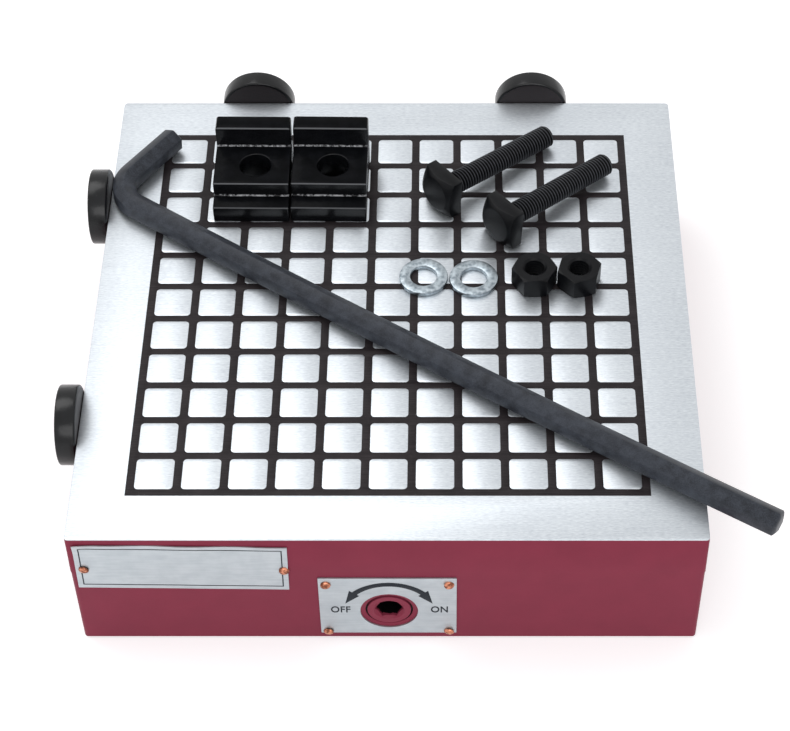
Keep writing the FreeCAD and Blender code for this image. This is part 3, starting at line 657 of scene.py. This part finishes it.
switchPlate = {"corner": 0.4 * mm, "hole": 13.9 * mm, "edge": 0.12 * mm, "inkRise": 0.05 * mm,
               "arrowOuter": 23.4 * mm, "arrowInner": 20.4 * mm, "arrowEnd": 16.7, "headLength": 25.0,
               "headOut": 25.3 * mm, "headIn": 18.9 * mm, "wordSize": 7.0 * mm, "wordSqueeze": 0.76,
               "wordStroke": 0.13 * mm, "wordSpacing": 1.05, "wordHeight": 23.0 * mm, "offSpot": -23.4 * mm,
               "onSpot": 24.3 * mm}


def inkPiece(name, outlines, front):
    made = slab(name, outlines, 0.0, switchPlate["inkRise"], 0.005 * mm, ink)
    moved(made, Matrix.Translation((0, front, 0)) @ standing)
    return settle(made, "body", "black_lacquer")


def makeWord(name, word, x, z, front):
    k = switchPlate
    text = bpy.data.curves.new(name, "FONT")
    text.body = word
    text.size = k["wordSize"]
    text.align_x = "CENTER"
    text.extrude = k["inkRise"] / 2
    text.offset = k["wordStroke"]
    text.space_character = k["wordSpacing"]
    mesh = meshOfCurve(text)
    squeeze = Matrix.Diagonal((k["wordSqueeze"], 1, 1, 1))
    mesh.transform(Matrix.Translation((x, front - k["inkRise"] / 2, z)) @ standing @ squeeze)
    return settle(newObject(name, mesh, ink), "body", "black_lacquer")


def headPoints(axle, tip, way):
    # arrow head that ends at the angle tip; for way 1 the list runs on from the band's outer side
    k = switchPlate
    root = tip - way * k["headLength"]
    points = [(k["headOut"], root), ((k["arrowOuter"] + k["arrowInner"]) / 2, tip), (k["headIn"], root)]
    if way < 0:
        points.reverse()
    return [(axle.x + radius * math.cos(math.radians(angle)),
             axle.z + radius * math.sin(math.radians(angle))) for radius, angle in points]


def makeSwitchPlate():
    k = switchPlate
    low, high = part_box("switch_plate")
    axle = middle("front_bush")
    hub = (axle.x, axle.z)
    centre = (low + high) / 2
    outline = roundedSquare(centre.x, centre.z, (high.x - low.x) / 2, (high.z - low.z) / 2, k["corner"], 2)
    hole = arc(hub, k["hole"], 0, 360, 96)[:-1]
    plate = slab("switch_label_plate", [outline, hole], 0.0, high.y - low.y, k["edge"], aluminium)
    moved(plate, Matrix.Translation((0, high.y, 0)) @ standing)
    settle(plate, "body", "plate_aluminium", "switch_plate")
    bend = k["arrowEnd"]
    start = bend + k["headLength"]
    outline = arc(hub, k["arrowOuter"], start, 180 - start, 40) + headPoints(axle, 180 - bend, 1)
    outline += arc(hub, k["arrowInner"], 180 - start, start, 40) + headPoints(axle, bend, -1)
    inkPiece("turn_arrow", [outline], low.y)
    makeWord("word_off", "OFF", k["offSpot"], k["wordHeight"], low.y)
    makeWord("word_on", "ON", k["onSpot"], k["wordHeight"], low.y)


makeSwitchPlate()
print("switch plate made")


collar = {"edge": 0.35 * mm, "mouth": 11.4 * mm, "mouthDepth": 2.0 * mm, "shaft": 10.53 * mm,
          "flange": 8 * mm, "barrel": 13 * mm}


def makeCollar():
    k = collar
    low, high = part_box("front_bush")
    axle = middle("front_bush")
    length = high.y - low.y
    outer = (high.z - low.z) / 2
    e = k["edge"]
    profile = [(k["shaft"], length), (k["shaft"], k["mouthDepth"]), (k["mouth"], k["mouthDepth"]),
               (k["mouth"], e), (k["mouth"] + 0.3 * e, 0.3 * e), (k["mouth"] + e, 0), (outer - e, 0),
               (outer, e), (outer, k["flange"]), (k["barrel"], k["flange"]), (k["barrel"], length),
               (k["shaft"], length)]
    made = lathe("shaft_collar", profile, paint)
    # the faces inside the mouth take the dark rubber finish: painted shade in the gap round the shaft
    made.data.materials.append(rubberAndPaintedShade)
    for face in made.data.polygons:
        if face.center.z > 0.5 * mm and face.center.xy.length < k["mouth"] + 0.1 * mm:
            face.material_index = 1
    moved(made, Matrix.Translation((axle.x, low.y, axle.z)) @ turned(-90, "X"))
    settle(made, "body", "paint", "front_bush")


makeCollar()

# the near-black colour and its depth range are painted shade deep inside the hex socket
shaftLook = {"dark": tone(70, 70, 74), "light": tone(120, 122, 126), "socketShade": tone(8, 7, 8),
             "lines": (900.0, 60.0, 900.0), "ragged": 4.0 * mm, "paintDepth": (0.1 * mm, 0.6 * mm),
             "shadeDepth": (0.4 * mm, 1.2 * mm)}


def makeShaftFinish():
    # red paint at the face, then bare steel, then painted shade deeper inside the socket
    f = Finish("shaftSteel")
    k = shaftLook
    depth = f.axis("Y")
    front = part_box("crank_shaft")[0].y
    ragged = f.cloud(420.0, 3.0) * k["ragged"]
    painted = 1.0 - f.rise(depth - ragged, *[front + d for d in k["paintDepth"]])
    lines = f.streaks(k["lines"])
    steel = f.blend(f.rise(lines, 0.3, 0.7), k["dark"], k["light"])
    # deeper in, the steel fades to near black: painted shade inside the socket
    dark = f.blend(f.rise(depth, *[front + d for d in k["shadeDepth"]]), steel, k["socketShade"])
    return f.set(Base_Color=f.blend(painted, dark, paintLook["colour"]), Roughness=f.span(lines, 0.35, 0.5),
                 Specular_IOR_Level=0.12, Normal=f.bump(f.cloud(520.0, 2.0), 0.16, 0.2 * mm))


coat("crank_shaft", makeShaftFinish())


# rivets

rivet = {"head": 2.5 * mm, "rise": 1.5 * mm, "rim": 0.25 * mm, "stem": 0.3, "stemLength": 1.5 * mm,
         "rows": 8, "tilts": (8, -6, 10, -9, 5, -7)}


def makeRivets(name, node, front):
    k = rivet
    made = []
    for index, (x, z) in enumerate(rivetSpots(node)):
        profile = [(0, k["rise"])]
        for step in range(1, k["rows"] + 1):
            turn = math.radians(90 - 90 * step / k["rows"])
            profile.append((k["head"] * math.cos(turn), k["rim"] + (k["rise"] - k["rim"]) * math.sin(turn)))
        stem = k["head"] * k["stem"]
        profile += [(k["head"] * 0.97, 0), (stem, 0), (stem, -k["stemLength"])]
        dome = lathe("dome", profile, copper, 40)
        tilt = turned(k["tilts"][index], "X")
        tilt = tilt @ turned(k["tilts"][-1 - index], "Y")
        moved(dome, Matrix.Translation((x, front, z)) @ standing @ tilt)
        made.append(dome)
    return settle(joined(name, made), "body", "rivet_copper", node)


def rivetSpots(node):
    # the centre of each separate rivet in the CAD node
    data = bmesh.new()
    data.from_mesh(frame["nodes"][node].data)
    bmesh.ops.remove_doubles(data, verts=data.verts, dist=1e-6)
    left = set(data.verts)
    spots = []
    while left:
        group, queue = [], [left.pop()]
        while queue:
            spot = queue.pop()
            group.append(spot.co.copy())
            for edge in spot.link_edges:
                other = edge.other_vert(spot)
                if other in left:
                    left.discard(other)
                    queue.append(other)
        xs, zs = [c.x for c in group], [c.z for c in group]
        spots.append(((min(xs) + max(xs)) / 2, (min(zs) + max(zs)) / 2))
    data.free()
    return sorted(spots)


makeRivets("switch_plate_rivets", "switch_rivets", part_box("switch_plate")[0].y)
makeRivets("name_plate_rivets", "name_rivets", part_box("name_plate")[0].y)
print("collar and rivets made")


# name plate, left bare, with its thin frame line

namePlate = {"length": 100.0 * mm, "height": 33.5 * mm, "thick": 0.6 * mm, "tilt": 1.0, "curl": 1.3 * mm,
             "curlReach": 8.0 * mm, "wave": 0.25 * mm, "edgeReach": 5 * mm, "edgeTurns": 160,
             "side": 0.5 * mm, "sideReach": 4 * mm, "sideSpot": -2 * mm, "sideSpread": 5 * mm, "dents": 40,
             "inset": 2.4 * mm, "line": 0.6 * mm, "lineRise": 0.03 * mm, "step": 1.0 * mm}


def plateRise(x, z):
    # how far the bent sheet stands off the wall
    k = namePlate
    left = x + k["length"] / 2
    right = k["length"] / 2 - x
    top = k["height"] / 2 - z
    corner = max(0.0, 1 - (left * 0.8 + top) / k["curlReach"])
    ripple = 0.5 + 0.5 * math.sin(x * k["edgeTurns"] + 1.0)
    edge = max(0.0, 1 - top / k["edgeReach"]) ** 2 * ripple * k["wave"] * 2
    bulge = math.exp(-((z - k["sideSpot"]) / k["sideSpread"]) ** 2)
    side = max(0.0, 1 - right / k["sideReach"]) ** 2 * bulge * k["side"]
    dent = noise.noise((x * k["dents"], z * k["dents"], 3.1))
    return k["curl"] * corner ** 1.5 + edge + side + k["wave"] * dent * 0.5


def bentStrip(name, low, high, rise, thick, material):
    k = namePlate
    countX = max(1, round((high[0] - low[0]) / k["step"]))
    countZ = max(1, round((high[1] - low[1]) / k["step"]))
    points, faces = [], []
    for layer in range(2):
        for i in range(countX + 1):
            for j in range(countZ + 1):
                x = low[0] + (high[0] - low[0]) * i / countX
                z = low[1] + (high[1] - low[1]) * j / countZ
                points.append((x, -(plateRise(x, z) + rise + thick * layer), z))
    size = (countX + 1) * (countZ + 1)

    def at(layer, i, j):
        return layer * size + i * (countZ + 1) + j

    for i in range(countX):
        for j in range(countZ):
            faces.append((at(1, i, j), at(1, i + 1, j), at(1, i + 1, j + 1), at(1, i, j + 1)))
            faces.append((at(0, i, j), at(0, i, j + 1), at(0, i + 1, j + 1), at(0, i + 1, j)))
    rim = [(i, 0) for i in range(countX)] + [(countX, j) for j in range(countZ)]
    rim += [(i, countZ) for i in range(countX, 0, -1)] + [(0, j) for j in range(countZ, 0, -1)]
    for (i, j), (m, n) in zip(rim, rim[1:] + rim[:1]):
        faces.append((at(0, i, j), at(0, m, n), at(1, m, n), at(1, i, j)))
    return smooth(meshFrom(name, points, faces, material), 50)


def makeNamePlate():
    k = namePlate
    low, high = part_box("name_plate")
    spot = ((low.x + high.x) / 2, high.y, (low.z + high.z) / 2)
    place = Matrix.Translation(spot) @ turned(k["tilt"], "Y")
    halfX, halfZ = k["length"] / 2, k["height"] / 2
    sheet = bentStrip("bare_name_plate", (-halfX, -halfZ), (halfX, halfZ), 0.0, k["thick"], aluminium)
    moved(sheet, place)
    settle(sheet, "body", "plate_aluminium", "name_plate")
    x, z, w = halfX - k["inset"], halfZ - k["inset"], k["line"]
    runs = [((-x, -z), (x, -z + w)), ((-x, z - w), (x, z)), ((-x, -z), (-x + w, z)), ((x - w, -z), (x, z))]
    lines = [bentStrip("line", a, b, k["thick"], k["lineRise"], ink) for a, b in runs]
    frameLine = joined("name_plate_line", lines)
    moved(frameLine, place)
    settle(frameLine, "body", "black_lacquer")


makeNamePlate()
print("name plate made")


# stop discs

stopDisc = {"face": 1.2 * mm, "back": 0.8 * mm, "pocket": 7.0 * mm, "pocketDepth": 5.5 * mm,
            "hole": 4.05 * mm}


def makeStopDisc(node, body, joint):
    k = stopDisc
    low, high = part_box(node)
    centre = (low + high) / 2
    axis = Vector(joint["axis"])
    pivot = Vector(joint["pos_m"])
    radius = (high.z - low.z) / 2
    thick = min(high.x - low.x, high.y - low.y)
    e, b = k["face"], k["back"]
    profile = [(0, 0), (radius - 2 * e, 0)]
    profile += [(radius - 2 * e + 2 * e * math.sin(math.radians(t)), e - e * math.cos(math.radians(t)))
                for t in range(10, 91, 16)]
    profile += arc((radius - b, thick - b), b, 0, 90, 5)
    profile.append((0, thick))
    disc = lathe("disc", profile, lacquer, 128)
    disc.data.materials.append(turnedFace)
    for face in disc.data.polygons:
        if face.center.z < 0.1 * mm:
            face.material_index = 1
    turn = axis.to_track_quat("Z", "Y").to_matrix().to_4x4()
    inner = centre - axis * thick / 2
    placed = Matrix.Translation(inner) @ turn
    offset = placed.inverted() @ (pivot + axis * (inner - pivot).dot(axis))
    floor = thick - k["pocketDepth"]
    tools = [cutter("hole", k["hole"], -mm, thick + mm, turnedFace, 48),
             cutter("pocket", k["pocket"], floor, thick + mm, lacquer, 64)]
    for tool in tools:
        moved(tool, Matrix.Translation(offset))
    combined(disc, tools, "DIFFERENCE")
    smooth(disc)
    disc.name = node.replace("stop_disc", "eccentric")
    moved(disc, placed)
    settle(disc, body, "black_lacquer", node)


for joint in frame["joints"]:
    if joint["name"].startswith("stop_"):
        body = joint["child"]
        makeStopDisc(body.replace("stop_", "stop_disc_"), body, joint)
print("stop discs made")


# hex wrench

wrench = {"size": 11.8 * mm, "length": 402.0 * mm, "short": 58.0 * mm, "bendRadius": 16.5 * mm, "bend": 90.6,
          "bow": 2.3 * mm, "roll": 26.0, "corner": (-149.0 * mm, 72.2 * mm), "turn": -34.8,
          "tip": 1.2 * mm, "tipLength": 10.0 * mm, "edge": 0.55 * mm, "armRows": 8, "bendRows": 18,
          "bowRows": 24}


def heading(turn):
    return Vector((math.cos(turn), math.sin(turn)))


def wrenchPath():
    # places along the bar, each with the direction of its run
    k = wrench
    bend = -math.radians(k["bend"])
    r = k["bendRadius"]
    setback = r * math.tan(-bend / 2)
    longRun = k["length"] - k["size"] / 2 - setback - k["tipLength"]
    shortRun = k["short"] - k["size"] / 2 - setback
    path = []
    for step in range(k["armRows"]):  # the short arm, towards the bend
        x, y = -shortRun * (1 - step / k["armRows"]), -r
        path.append((Vector((x * math.cos(bend) - y * math.sin(bend),
                             x * math.sin(bend) + y * math.cos(bend) + r)), bend))
    for step in range(k["bendRows"] + 1):
        turn = bend * (1 - step / k["bendRows"])
        path.append((Vector((r * math.sin(turn), r - r * math.cos(turn))), turn))
    bowRadius = longRun ** 2 / (8 * k["bow"])
    for step in range(1, k["bowRows"] + 1):
        turn = longRun * step / k["bowRows"] / bowRadius
        path.append((Vector((bowRadius * math.sin(turn), bowRadius * (1 - math.cos(turn)))), turn))
    end, turn = path[-1]
    for share in (0.5, 1.0):
        path.append((end + heading(turn) * k["tipLength"] * share, turn))
    return [(Vector((spot.x + setback, spot.y)), turn) for spot, turn in path]


def makeWrench():
    k = wrench
    corner = k["size"] / math.sqrt(3)
    section = []
    for side in range(6):  # each corner is rounded off by three points
        for offset in (-1, 0, 1):
            reach = corner - (k["edge"] * 0.32 if offset == 0 else k["edge"] * 0.5)
            turn = math.radians(60 * side) + offset * k["edge"] / corner + math.radians(k["roll"])
            section.append((reach * math.cos(turn), reach * math.sin(turn)))
    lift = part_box("hex_wrench")[0].z - min(up for across, up in section)
    path = wrenchPath()
    tip = k["tip"]
    flat = k["size"] / 2
    ends = [(0.0, 1 - 1.6 * tip / flat), (0.5 * tip, 1 - 0.5 * tip / flat), (tip, 1.0)]
    (first, firstTurn), (last, lastTurn) = path[0], path[-1]
    rows = [(first + heading(firstTurn) * inset, firstTurn, scale) for inset, scale in ends]
    rows += [(spot, turn, 1.0) for spot, turn in path[1:-1]]
    rows += [(last - heading(lastTurn) * inset, lastTurn, scale) for inset, scale in reversed(ends)]
    points = []
    for spot, turn, scale in rows:
        for across, up in section:
            aside = across * scale
            points.append((spot.x - math.sin(turn) * aside, spot.y + math.cos(turn) * aside, up * scale))
    count = len(section)
    faces = [tuple(range(count - 1, -1, -1)), tuple(range(len(points) - count, len(points)))]
    for row in range(len(rows) - 1):
        for i in range(count):
            j = (i + 1) % count
            faces.append((row * count + i, row * count + j, (row + 1) * count + j, (row + 1) * count + i))
    bar = meshFrom("hex_key", points, faces, wrenchOxide)
    smooth(bar, 24)
    moved(bar, Matrix.Translation((*k["corner"], lift)) @ turned(k["turn"], "Z"))
    settle(bar, "wrench", "wrench_steel", "hex_wrench")


wrenchOxide = makeOxide("wrenchOxide", tone(40, 42, 47), tone(66, 70, 78), 0.34)
makeWrench()
print("wrench made")


# clamp plates

clamp = {"width": 39.5 * mm, "nose": 9.3 * mm, "noseHeight": 10.0 * mm, "waist": 28.7 * mm,
         "waistHeight": 18.5 * mm, "heel": 9.6 * mm, "heelHeight": 31.0 * mm, "hole": 8.25 * mm,
         "holeOffset": 1.7 * mm, "corner": 1.6 * mm, "edge": 0.6 * mm, "turns": (-0.5, -0.8)}


# colours and reach of the painted edge highlights on the clamps
clampMarks = {"edgeHighlight": tone(120, 122, 126), "cornerHighlight": tone(165, 166, 170), "patches": 420.0,
              "narrow": 0.7 * mm, "wide": 1.2 * mm, "medium": 0.8 * mm, "crest": 0.9 * mm}


def clampHighlights(f):
    # painted highlights: thin light lines on the outer edges, broken light lines along the inner corners
    # where the milling burrs are
    k, m = clamp, clampMarks
    y, z = f.axis("Y"), f.axis("Z")
    waistEnd = k["nose"] + k["waist"]
    broken = f.rise(f.cloud(m["patches"], 4.0, 0.7), 0.42, 0.6)
    foot = f.band(y, waistEnd, m["narrow"]) * f.band(z, k["waistHeight"], m["wide"])
    step = f.band(y, k["nose"], m["narrow"]) * f.band(z, k["noseHeight"], m["wide"])
    lip = f.band(y, k["nose"], m["narrow"]) * f.band(z, k["waistHeight"], m["medium"])
    crest = f.band(y, waistEnd, m["medium"]) * f.band(z, k["heelHeight"], m["crest"])
    front = f.band(y, 0.0, m["medium"]) * f.band(z, k["noseHeight"], m["medium"])
    # broken light lines in the inner corners: painted highlight on the milling burrs
    cornerHighlight = (foot | step) * broken
    # thin light lines on the outer edges: painted highlights
    edgeHighlight = (lip * 0.55 | crest * 0.5) | front * 0.35
    return [(edgeHighlight, m["edgeHighlight"]), (cornerHighlight, m["cornerHighlight"])]


def makeClampPlate(node, turn):
    k = clamp
    y1, y2 = k["nose"], k["nose"] + k["waist"]
    y3 = y2 + k["heel"]
    outline = [(0, 0), (y3, 0), (y3, k["heelHeight"]), (y2, k["heelHeight"]), (y2, k["waistHeight"]),
               (y1, k["waistHeight"]), (y1, k["noseHeight"]), (0, k["noseHeight"])]
    half = k["width"] / 2
    points = [(side * half, y, z) for side in (-1, 1) for y, z in outline]
    count = len(outline)
    faces = [tuple(range(count)), tuple(range(2 * count - 1, count - 1, -1))]
    faces += [(i, i + count, (i + 1) % count + count, (i + 1) % count) for i in range(count)]
    body = meshFrom(node.replace("clamp_plate", "stepped_clamp"), points, faces, clampLacquer)
    data = bmesh.new()
    data.from_mesh(body.data)
    bmesh.ops.recalc_face_normals(data, faces=data.faces)
    upright = []
    for edge in data.edges:  # the heel's top edges that run front to back
        a, b = [v.co for v in edge.verts]
        onHeel = min(a.y, b.y) > y2 - 1e-6 and min(a.z, b.z) > k["waistHeight"] - 1e-6
        if onHeel and abs(a.x - b.x) < 1e-6 and abs(a.y - b.y) > 1e-6:
            upright.append(edge)
    bmesh.ops.bevel(data, geom=upright, offset=k["corner"], segments=4, profile=0.5, affect="EDGES")
    data.to_mesh(body.data)
    data.free()
    tool = cutter("tool", k["hole"], -mm, k["waistHeight"] + mm, clampLacquer, 72)
    moved(tool, Matrix.Translation((k["holeOffset"], y1 + k["waist"] / 2, 0)))
    combined(body, [tool], "DIFFERENCE")
    bevelled(body, k["edge"], 3, 40)
    # the upward faces take a copy of the lacquer that reflects almost nothing, shade put into the tops
    body.data.materials.append(clampTop)
    for face in body.data.polygons:
        face.material_index = 1 if face.normal.z > 0.8 else 0
    body.matrix_world = standOn(node, turn) @ Matrix.Translation((0, -y3 / 2, 0))
    settle(body, node.replace("clamp_plate", "clamp"), "black_lacquer", node)


clampLacquer = makeLacquer("clampLacquer", clampHighlights, 0.24)
# a copy for the upward faces with almost no reflection: shade put into the tops
clampTop = makeLacquer("clampTopLacquer", clampHighlights, 0.03)
for index, turn in enumerate(clamp["turns"]):
    makeClampPlate("clamp_plate_%d" % (index + 1), turn)
print("clamp plates made")


# square-head bolts, washers and nuts

bolt = {"thread": 6.0 * mm, "pitch": 1.75 * mm, "depth": 1.05 * mm, "length": 70.0 * mm, "tip": 1.2 * mm,
        "overlap": 1.0 * mm, "head": 22.0 * mm, "headHeight": 9.5 * mm, "flat": 9.3 * mm, "slope": 30.0,
        "edge": 0.35 * mm, "fillet": ((1.2 * mm, 0.2 * mm), (0.5 * mm, -0.4 * mm), (0.1 * mm, -1.3 * mm)),
        "places": ((28.5 * mm, 72.1 * mm, 39.8), (59.8 * mm, 49.4 * mm, 40.7))}


def threadGrid(name, radius, low, high, material, depth, inward=False, cap=0.0, around=56):
    # screw thread as rows that follow the helix; inward makes the wall of a nut
    points, faces = [], []
    pitch = bolt["pitch"]
    crest = (0.0, 0.1, 0.42, 0.62, 0.94, 1.0)
    shape = (1.0, 1.0, 0.0, 0.0, 1.0, 1.0)
    marks = (0.0, 0.1, 0.26, 0.42, 0.62, 0.78)
    first = math.floor(low / pitch) - 1
    last = math.ceil(high / pitch) + 1
    levels = [(turn + mark, mark) for turn in range(first, last) for mark in marks]
    for level, mark in levels:
        share = 1.0
        for (a, b), (p, q) in zip(zip(crest, crest[1:]), zip(shape, shape[1:])):
            if a <= mark <= b:
                share = p + (q - p) * (mark - a) / (b - a)
                break
        for step in range(around + 1):
            z = min(max((level + step / around) * pitch, low), high)
            reach = radius + depth * (1 - share) - depth if inward else radius - depth * (1 - share)
            if cap:
                reach = min(reach, radius - cap + (high - z))
            turn = math.tau * step / around
            points.append((reach * math.cos(turn), reach * math.sin(turn), z))
    count = around + 1
    for row in range(len(levels) - 1):
        for step in range(around):
            faces.append((row * count + step, row * count + step + 1,
                          (row + 1) * count + step + 1, (row + 1) * count + step))
    made = meshFrom(name, points, faces, material)
    data = bmesh.new()
    data.from_mesh(made.data)
    bmesh.ops.remove_doubles(data, verts=data.verts, dist=2e-6)
    bmesh.ops.dissolve_degenerate(data, edges=data.edges, dist=1e-6)
    if cap:
        rim = [e for e in data.edges if e.is_boundary and all(v.co.z > high - 1e-5 for v in e.verts)]
        bmesh.ops.holes_fill(data, edges=rim)
    bmesh.ops.recalc_face_normals(data, faces=data.faces)
    if inward:
        bmesh.ops.reverse_faces(data, faces=data.faces)
    data.to_mesh(made.data)
    data.free()
    return smooth(made, 50)


def coneEnded(name, corner, flat, height, both, material):
    drop = (corner - flat) * math.tan(math.radians(bolt["slope"]))
    start = [(0, 0), (flat, 0), (corner, drop)] if both else [(0, 0), (corner, 0)]
    return lathe(name, start + [(corner, height - drop), (flat, height), (0, height)], material, 96)


def prismOf(name, outline, height, material):
    count = len(outline)
    points = [(x, y, z) for z in (0, height) for x, y in outline]
    faces = [tuple(range(count - 1, -1, -1)), tuple(range(count, 2 * count))]
    faces += [(i, (i + 1) % count, (i + 1) % count + count, i + count) for i in range(count)]
    return meshFrom(name, points, faces, material)


def makeTeeBolt(node, x, y, turn):
    k = bolt
    half = k["head"] / 2
    square = [(half, -half), (half, half), (-half, half), (-half, -half)]
    head = prismOf("head", square, k["headHeight"], oxide)
    cone = coneEnded("cone", half * math.sqrt(2) + 0.01 * mm, k["flat"], k["headHeight"], False, oxide)
    combined(head, [cone], "INTERSECT")
    bevelled(head, k["edge"], 2, 20)
    stem = threadGrid("stem", k["thread"], -k["overlap"], k["length"], threadOxide, k["depth"], cap=k["tip"])
    moved(stem, Matrix.Rotation(math.pi, 4, "X"))
    profile = [(k["thread"] + wider, z) for wider, z in k["fillet"]]
    profile = [(0, profile[0][1])] + profile + [(0, profile[-1][1])]
    fillet = lathe("fillet", profile, oxide, 56)
    piece = joined(node.replace("tee_bolt", "square_head_bolt"), [head, stem, fillet])
    dip = math.asin((half - k["thread"]) / k["length"])
    lie = Matrix.Rotation(dip, 4, "Y") @ turned(-90, "Y")
    place = Matrix.Translation((x, y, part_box(node)[1].z - half))
    piece.matrix_world = place @ turned(turn, "Z") @ lie
    settle(piece, node.replace("tee_bolt", "bolt"), "black_oxide", node)


for index, (x, y, turn) in enumerate(bolt["places"]):
    makeTeeBolt("tee_bolt_%d" % (index + 1), x, y, turn)
print("bolts made")


washer = {"hole": 6.8 * mm, "edge": 0.45 * mm}


def makeWasher(node, body):
    low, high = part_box(node)
    outer, thick = (high.x - low.x) / 2, high.z - low.z
    inner, e = washer["hole"], washer["edge"]
    profile = [(inner, e), (inner + 0.3 * e, 0.3 * e), (inner + e, 0), (outer - e, 0),
               (outer - 0.3 * e, 0.3 * e), (outer, e), (outer, thick - e),
               (outer - 0.3 * e, thick - 0.3 * e), (outer - e, thick), (inner + 1.4 * e, thick),
               (inner + 0.4 * e, thick - 0.4 * e), (inner, thick - 1.4 * e), (inner, e)]
    ring = lathe(node.replace("washer", "flat_washer"), profile, zinc)
    ring.matrix_world = standOn(node, 0.0)
    settle(ring, body, "zinc", node)


nut = {"size": 20.2 * mm, "bore": 6.0 * mm, "depth": 0.8 * mm, "lead": 1.0 * mm, "mouth": 6.3 * mm,
       "edge": 0.3 * mm, "turns": (2.0, 15.0)}


def makeNut(node, body, turn):
    k = nut
    low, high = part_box(node)
    height = high.z - low.z
    corner = k["size"] / math.sqrt(3)
    block = prismOf("block", arc((0, 0), corner, 0, 360, 6)[:-1], height, oxide)
    cone = coneEnded("cone", corner + 0.01 * mm, k["size"] / 2, height, True, oxide)
    combined(block, [cone], "INTERSECT")
    mouth, lead = k["mouth"], k["lead"]
    profile = [(0, -mm), (mouth + mm, -mm), (mouth, 0), (mouth - lead, lead), (mouth - lead, height - lead),
               (mouth, height), (mouth + mm, height + mm), (0, height + mm)]
    combined(block, [lathe("tool", profile, oxide, 72)], "DIFFERENCE")
    bevelled(block, k["edge"], 2, 20)
    wall = threadGrid("wall", k["bore"], lead, height - lead, oxide, k["depth"], inward=True)
    piece = joined(node.replace("nut", "hex_nut"), [block, wall])
    piece.matrix_world = standOn(node, turn)
    settle(piece, body, "black_oxide", node)


for index in (1, 2):
    makeWasher("washer_%d" % index, "ring_%d" % index)
    makeNut("nut_%d" % index, "hex_nut_%d" % index, nut["turns"][index - 1])
print("washers and nuts made")


# CAD nodes that stay

carried = ((paint, ["housing"]), (brass, ["guide_strips"]), (rubberAndPaintedShade, ["shaft_oring"]),
           (bronze, ["rear_bearing"]), (aluminium, ["row_spacers"]),
           (screwSteel, ["plate_screws", "bearing_screws", "bridge_screws", "stop_screws", "jaw_screws"]),
           (machined, ["strip_screws", "limit_bridge", "limit_pin", "yoke_plate", "drive_jaw_left",
                       "drive_jaw_right"]))
for material, nodes in carried:
    for node in nodes:
        coat(node, material)
for node in frame["nodes"]:
    if node.startswith("magnet_row"):
        coat(node, ferrite)
print("inner parts coated")


# floor, light and camera

studio = {"floor": 3.0, "floorColour": (0.86, 0.86, 0.87, 1.0), "floorPatches": (0.88, 0.88, 0.88, 1.0),
          "floorGlow": 0.42, "ambient": 0.62, "aim": (0, 0, 0.05),
          "lamps": (("key", (-0.5, 0.5, 1.4), (0.9, 0.7), 6.0), ("front", (0.2, -1.3, 0.9), (1.4, 0.8), 8.0),
                    ("left", (-1.4, -0.1, 0.8), (0.8, 0.8), 2.0))}
white = (1, 1, 1, 1)


def makeFloor():
    k = studio
    half = k["floor"]
    points = [(-half, -half, 0), (half, -half, 0), (half, half, 0), (-half, half, 0)]
    floor = meshFrom("studio_floor", points, [(0, 1, 2, 3)])
    floor.location.z = cadBox[0].z - 0.02 * mm
    f = Finish("paleFloor")
    tint = f.blend(f.cloud(3.0, 2.0) * 0.2, k["floorColour"], k["floorPatches"])
    f.set(Base_Color=tint, Roughness=0.9, Specular_IOR_Level=0.0)
    glow = f.node("ShaderNodeEmission", {}, {"Color": white, "Strength": k["floorGlow"]})
    none = f.node("ShaderNodeEmission", {}, {"Strength": 0.0})
    seen = f.ray("Is Camera Ray") | f.ray("Is Glossy Ray")
    lit = f.node("ShaderNodeMixShader", {}, {0: seen, 1: none, 2: glow})
    both = f.node("ShaderNodeAddShader", {}, {0: Wire(f, f.shader.outputs[0]), 1: lit})
    f.fill(f.tree.nodes["Material Output"], "Surface", both)
    floor.data.materials.append(f.material)


def makeWorld():
    # white to the camera, in reflections and through glass; dimmer as light
    world = bpy.data.worlds.new("studio")
    bpy.context.scene.world = world
    world.use_nodes = True
    g = Graph(world.node_tree)
    back = g.tree.nodes["Background"]
    g.fill(back, "Color", white)
    g.fill(back, "Strength", studio["ambient"])
    bright = g.node("ShaderNodeBackground", {}, {"Color": white, "Strength": 1.0})
    seen = g.ray("Is Camera Ray") | g.ray("Is Glossy Ray") | g.ray("Is Transmission Ray")
    mixed = g.node("ShaderNodeMixShader", {}, {0: seen, 1: Wire(g, back.outputs[0]), 2: bright})
    g.fill(g.tree.nodes["World Output"], "Surface", mixed)


def makeLamps():
    for name, spot, size, power in studio["lamps"]:
        lamp = bpy.data.lights.new(name, "AREA")
        lamp.shape = "RECTANGLE"
        lamp.size, lamp.size_y = size
        lamp.energy = power
        holder = linked(name, lamp)
        holder.location = spot
        aim = Vector(studio["aim"]) - Vector(spot)
        holder.rotation_euler = aim.to_track_quat("-Z", "Y").to_euler()


view = {"lens": 99.13, "sensor": 36, "spot": (0.0276, -0.7517, 0.8907), "tilt": 40.18, "shiftX": -0.0651,
        "shiftY": 0.0479, "near": 0.05, "far": 20}


def makeCamera():
    camera = bpy.data.cameras.new("camera")
    camera.lens = view["lens"]
    camera.sensor_width = view["sensor"]
    camera.shift_x = view["shiftX"]
    camera.shift_y = view["shiftY"]
    camera.clip_start = view["near"]
    camera.clip_end = view["far"]
    holder = linked("camera", camera)
    holder.location = view["spot"]
    holder.rotation_euler = (math.radians(view["tilt"]), 0, 0)
    bpy.context.scene.camera = holder


makeFloor()
makeWorld()
makeLamps()
makeCamera()
bpy.context.scene.view_settings.view_transform = "Standard"
print("studio made")
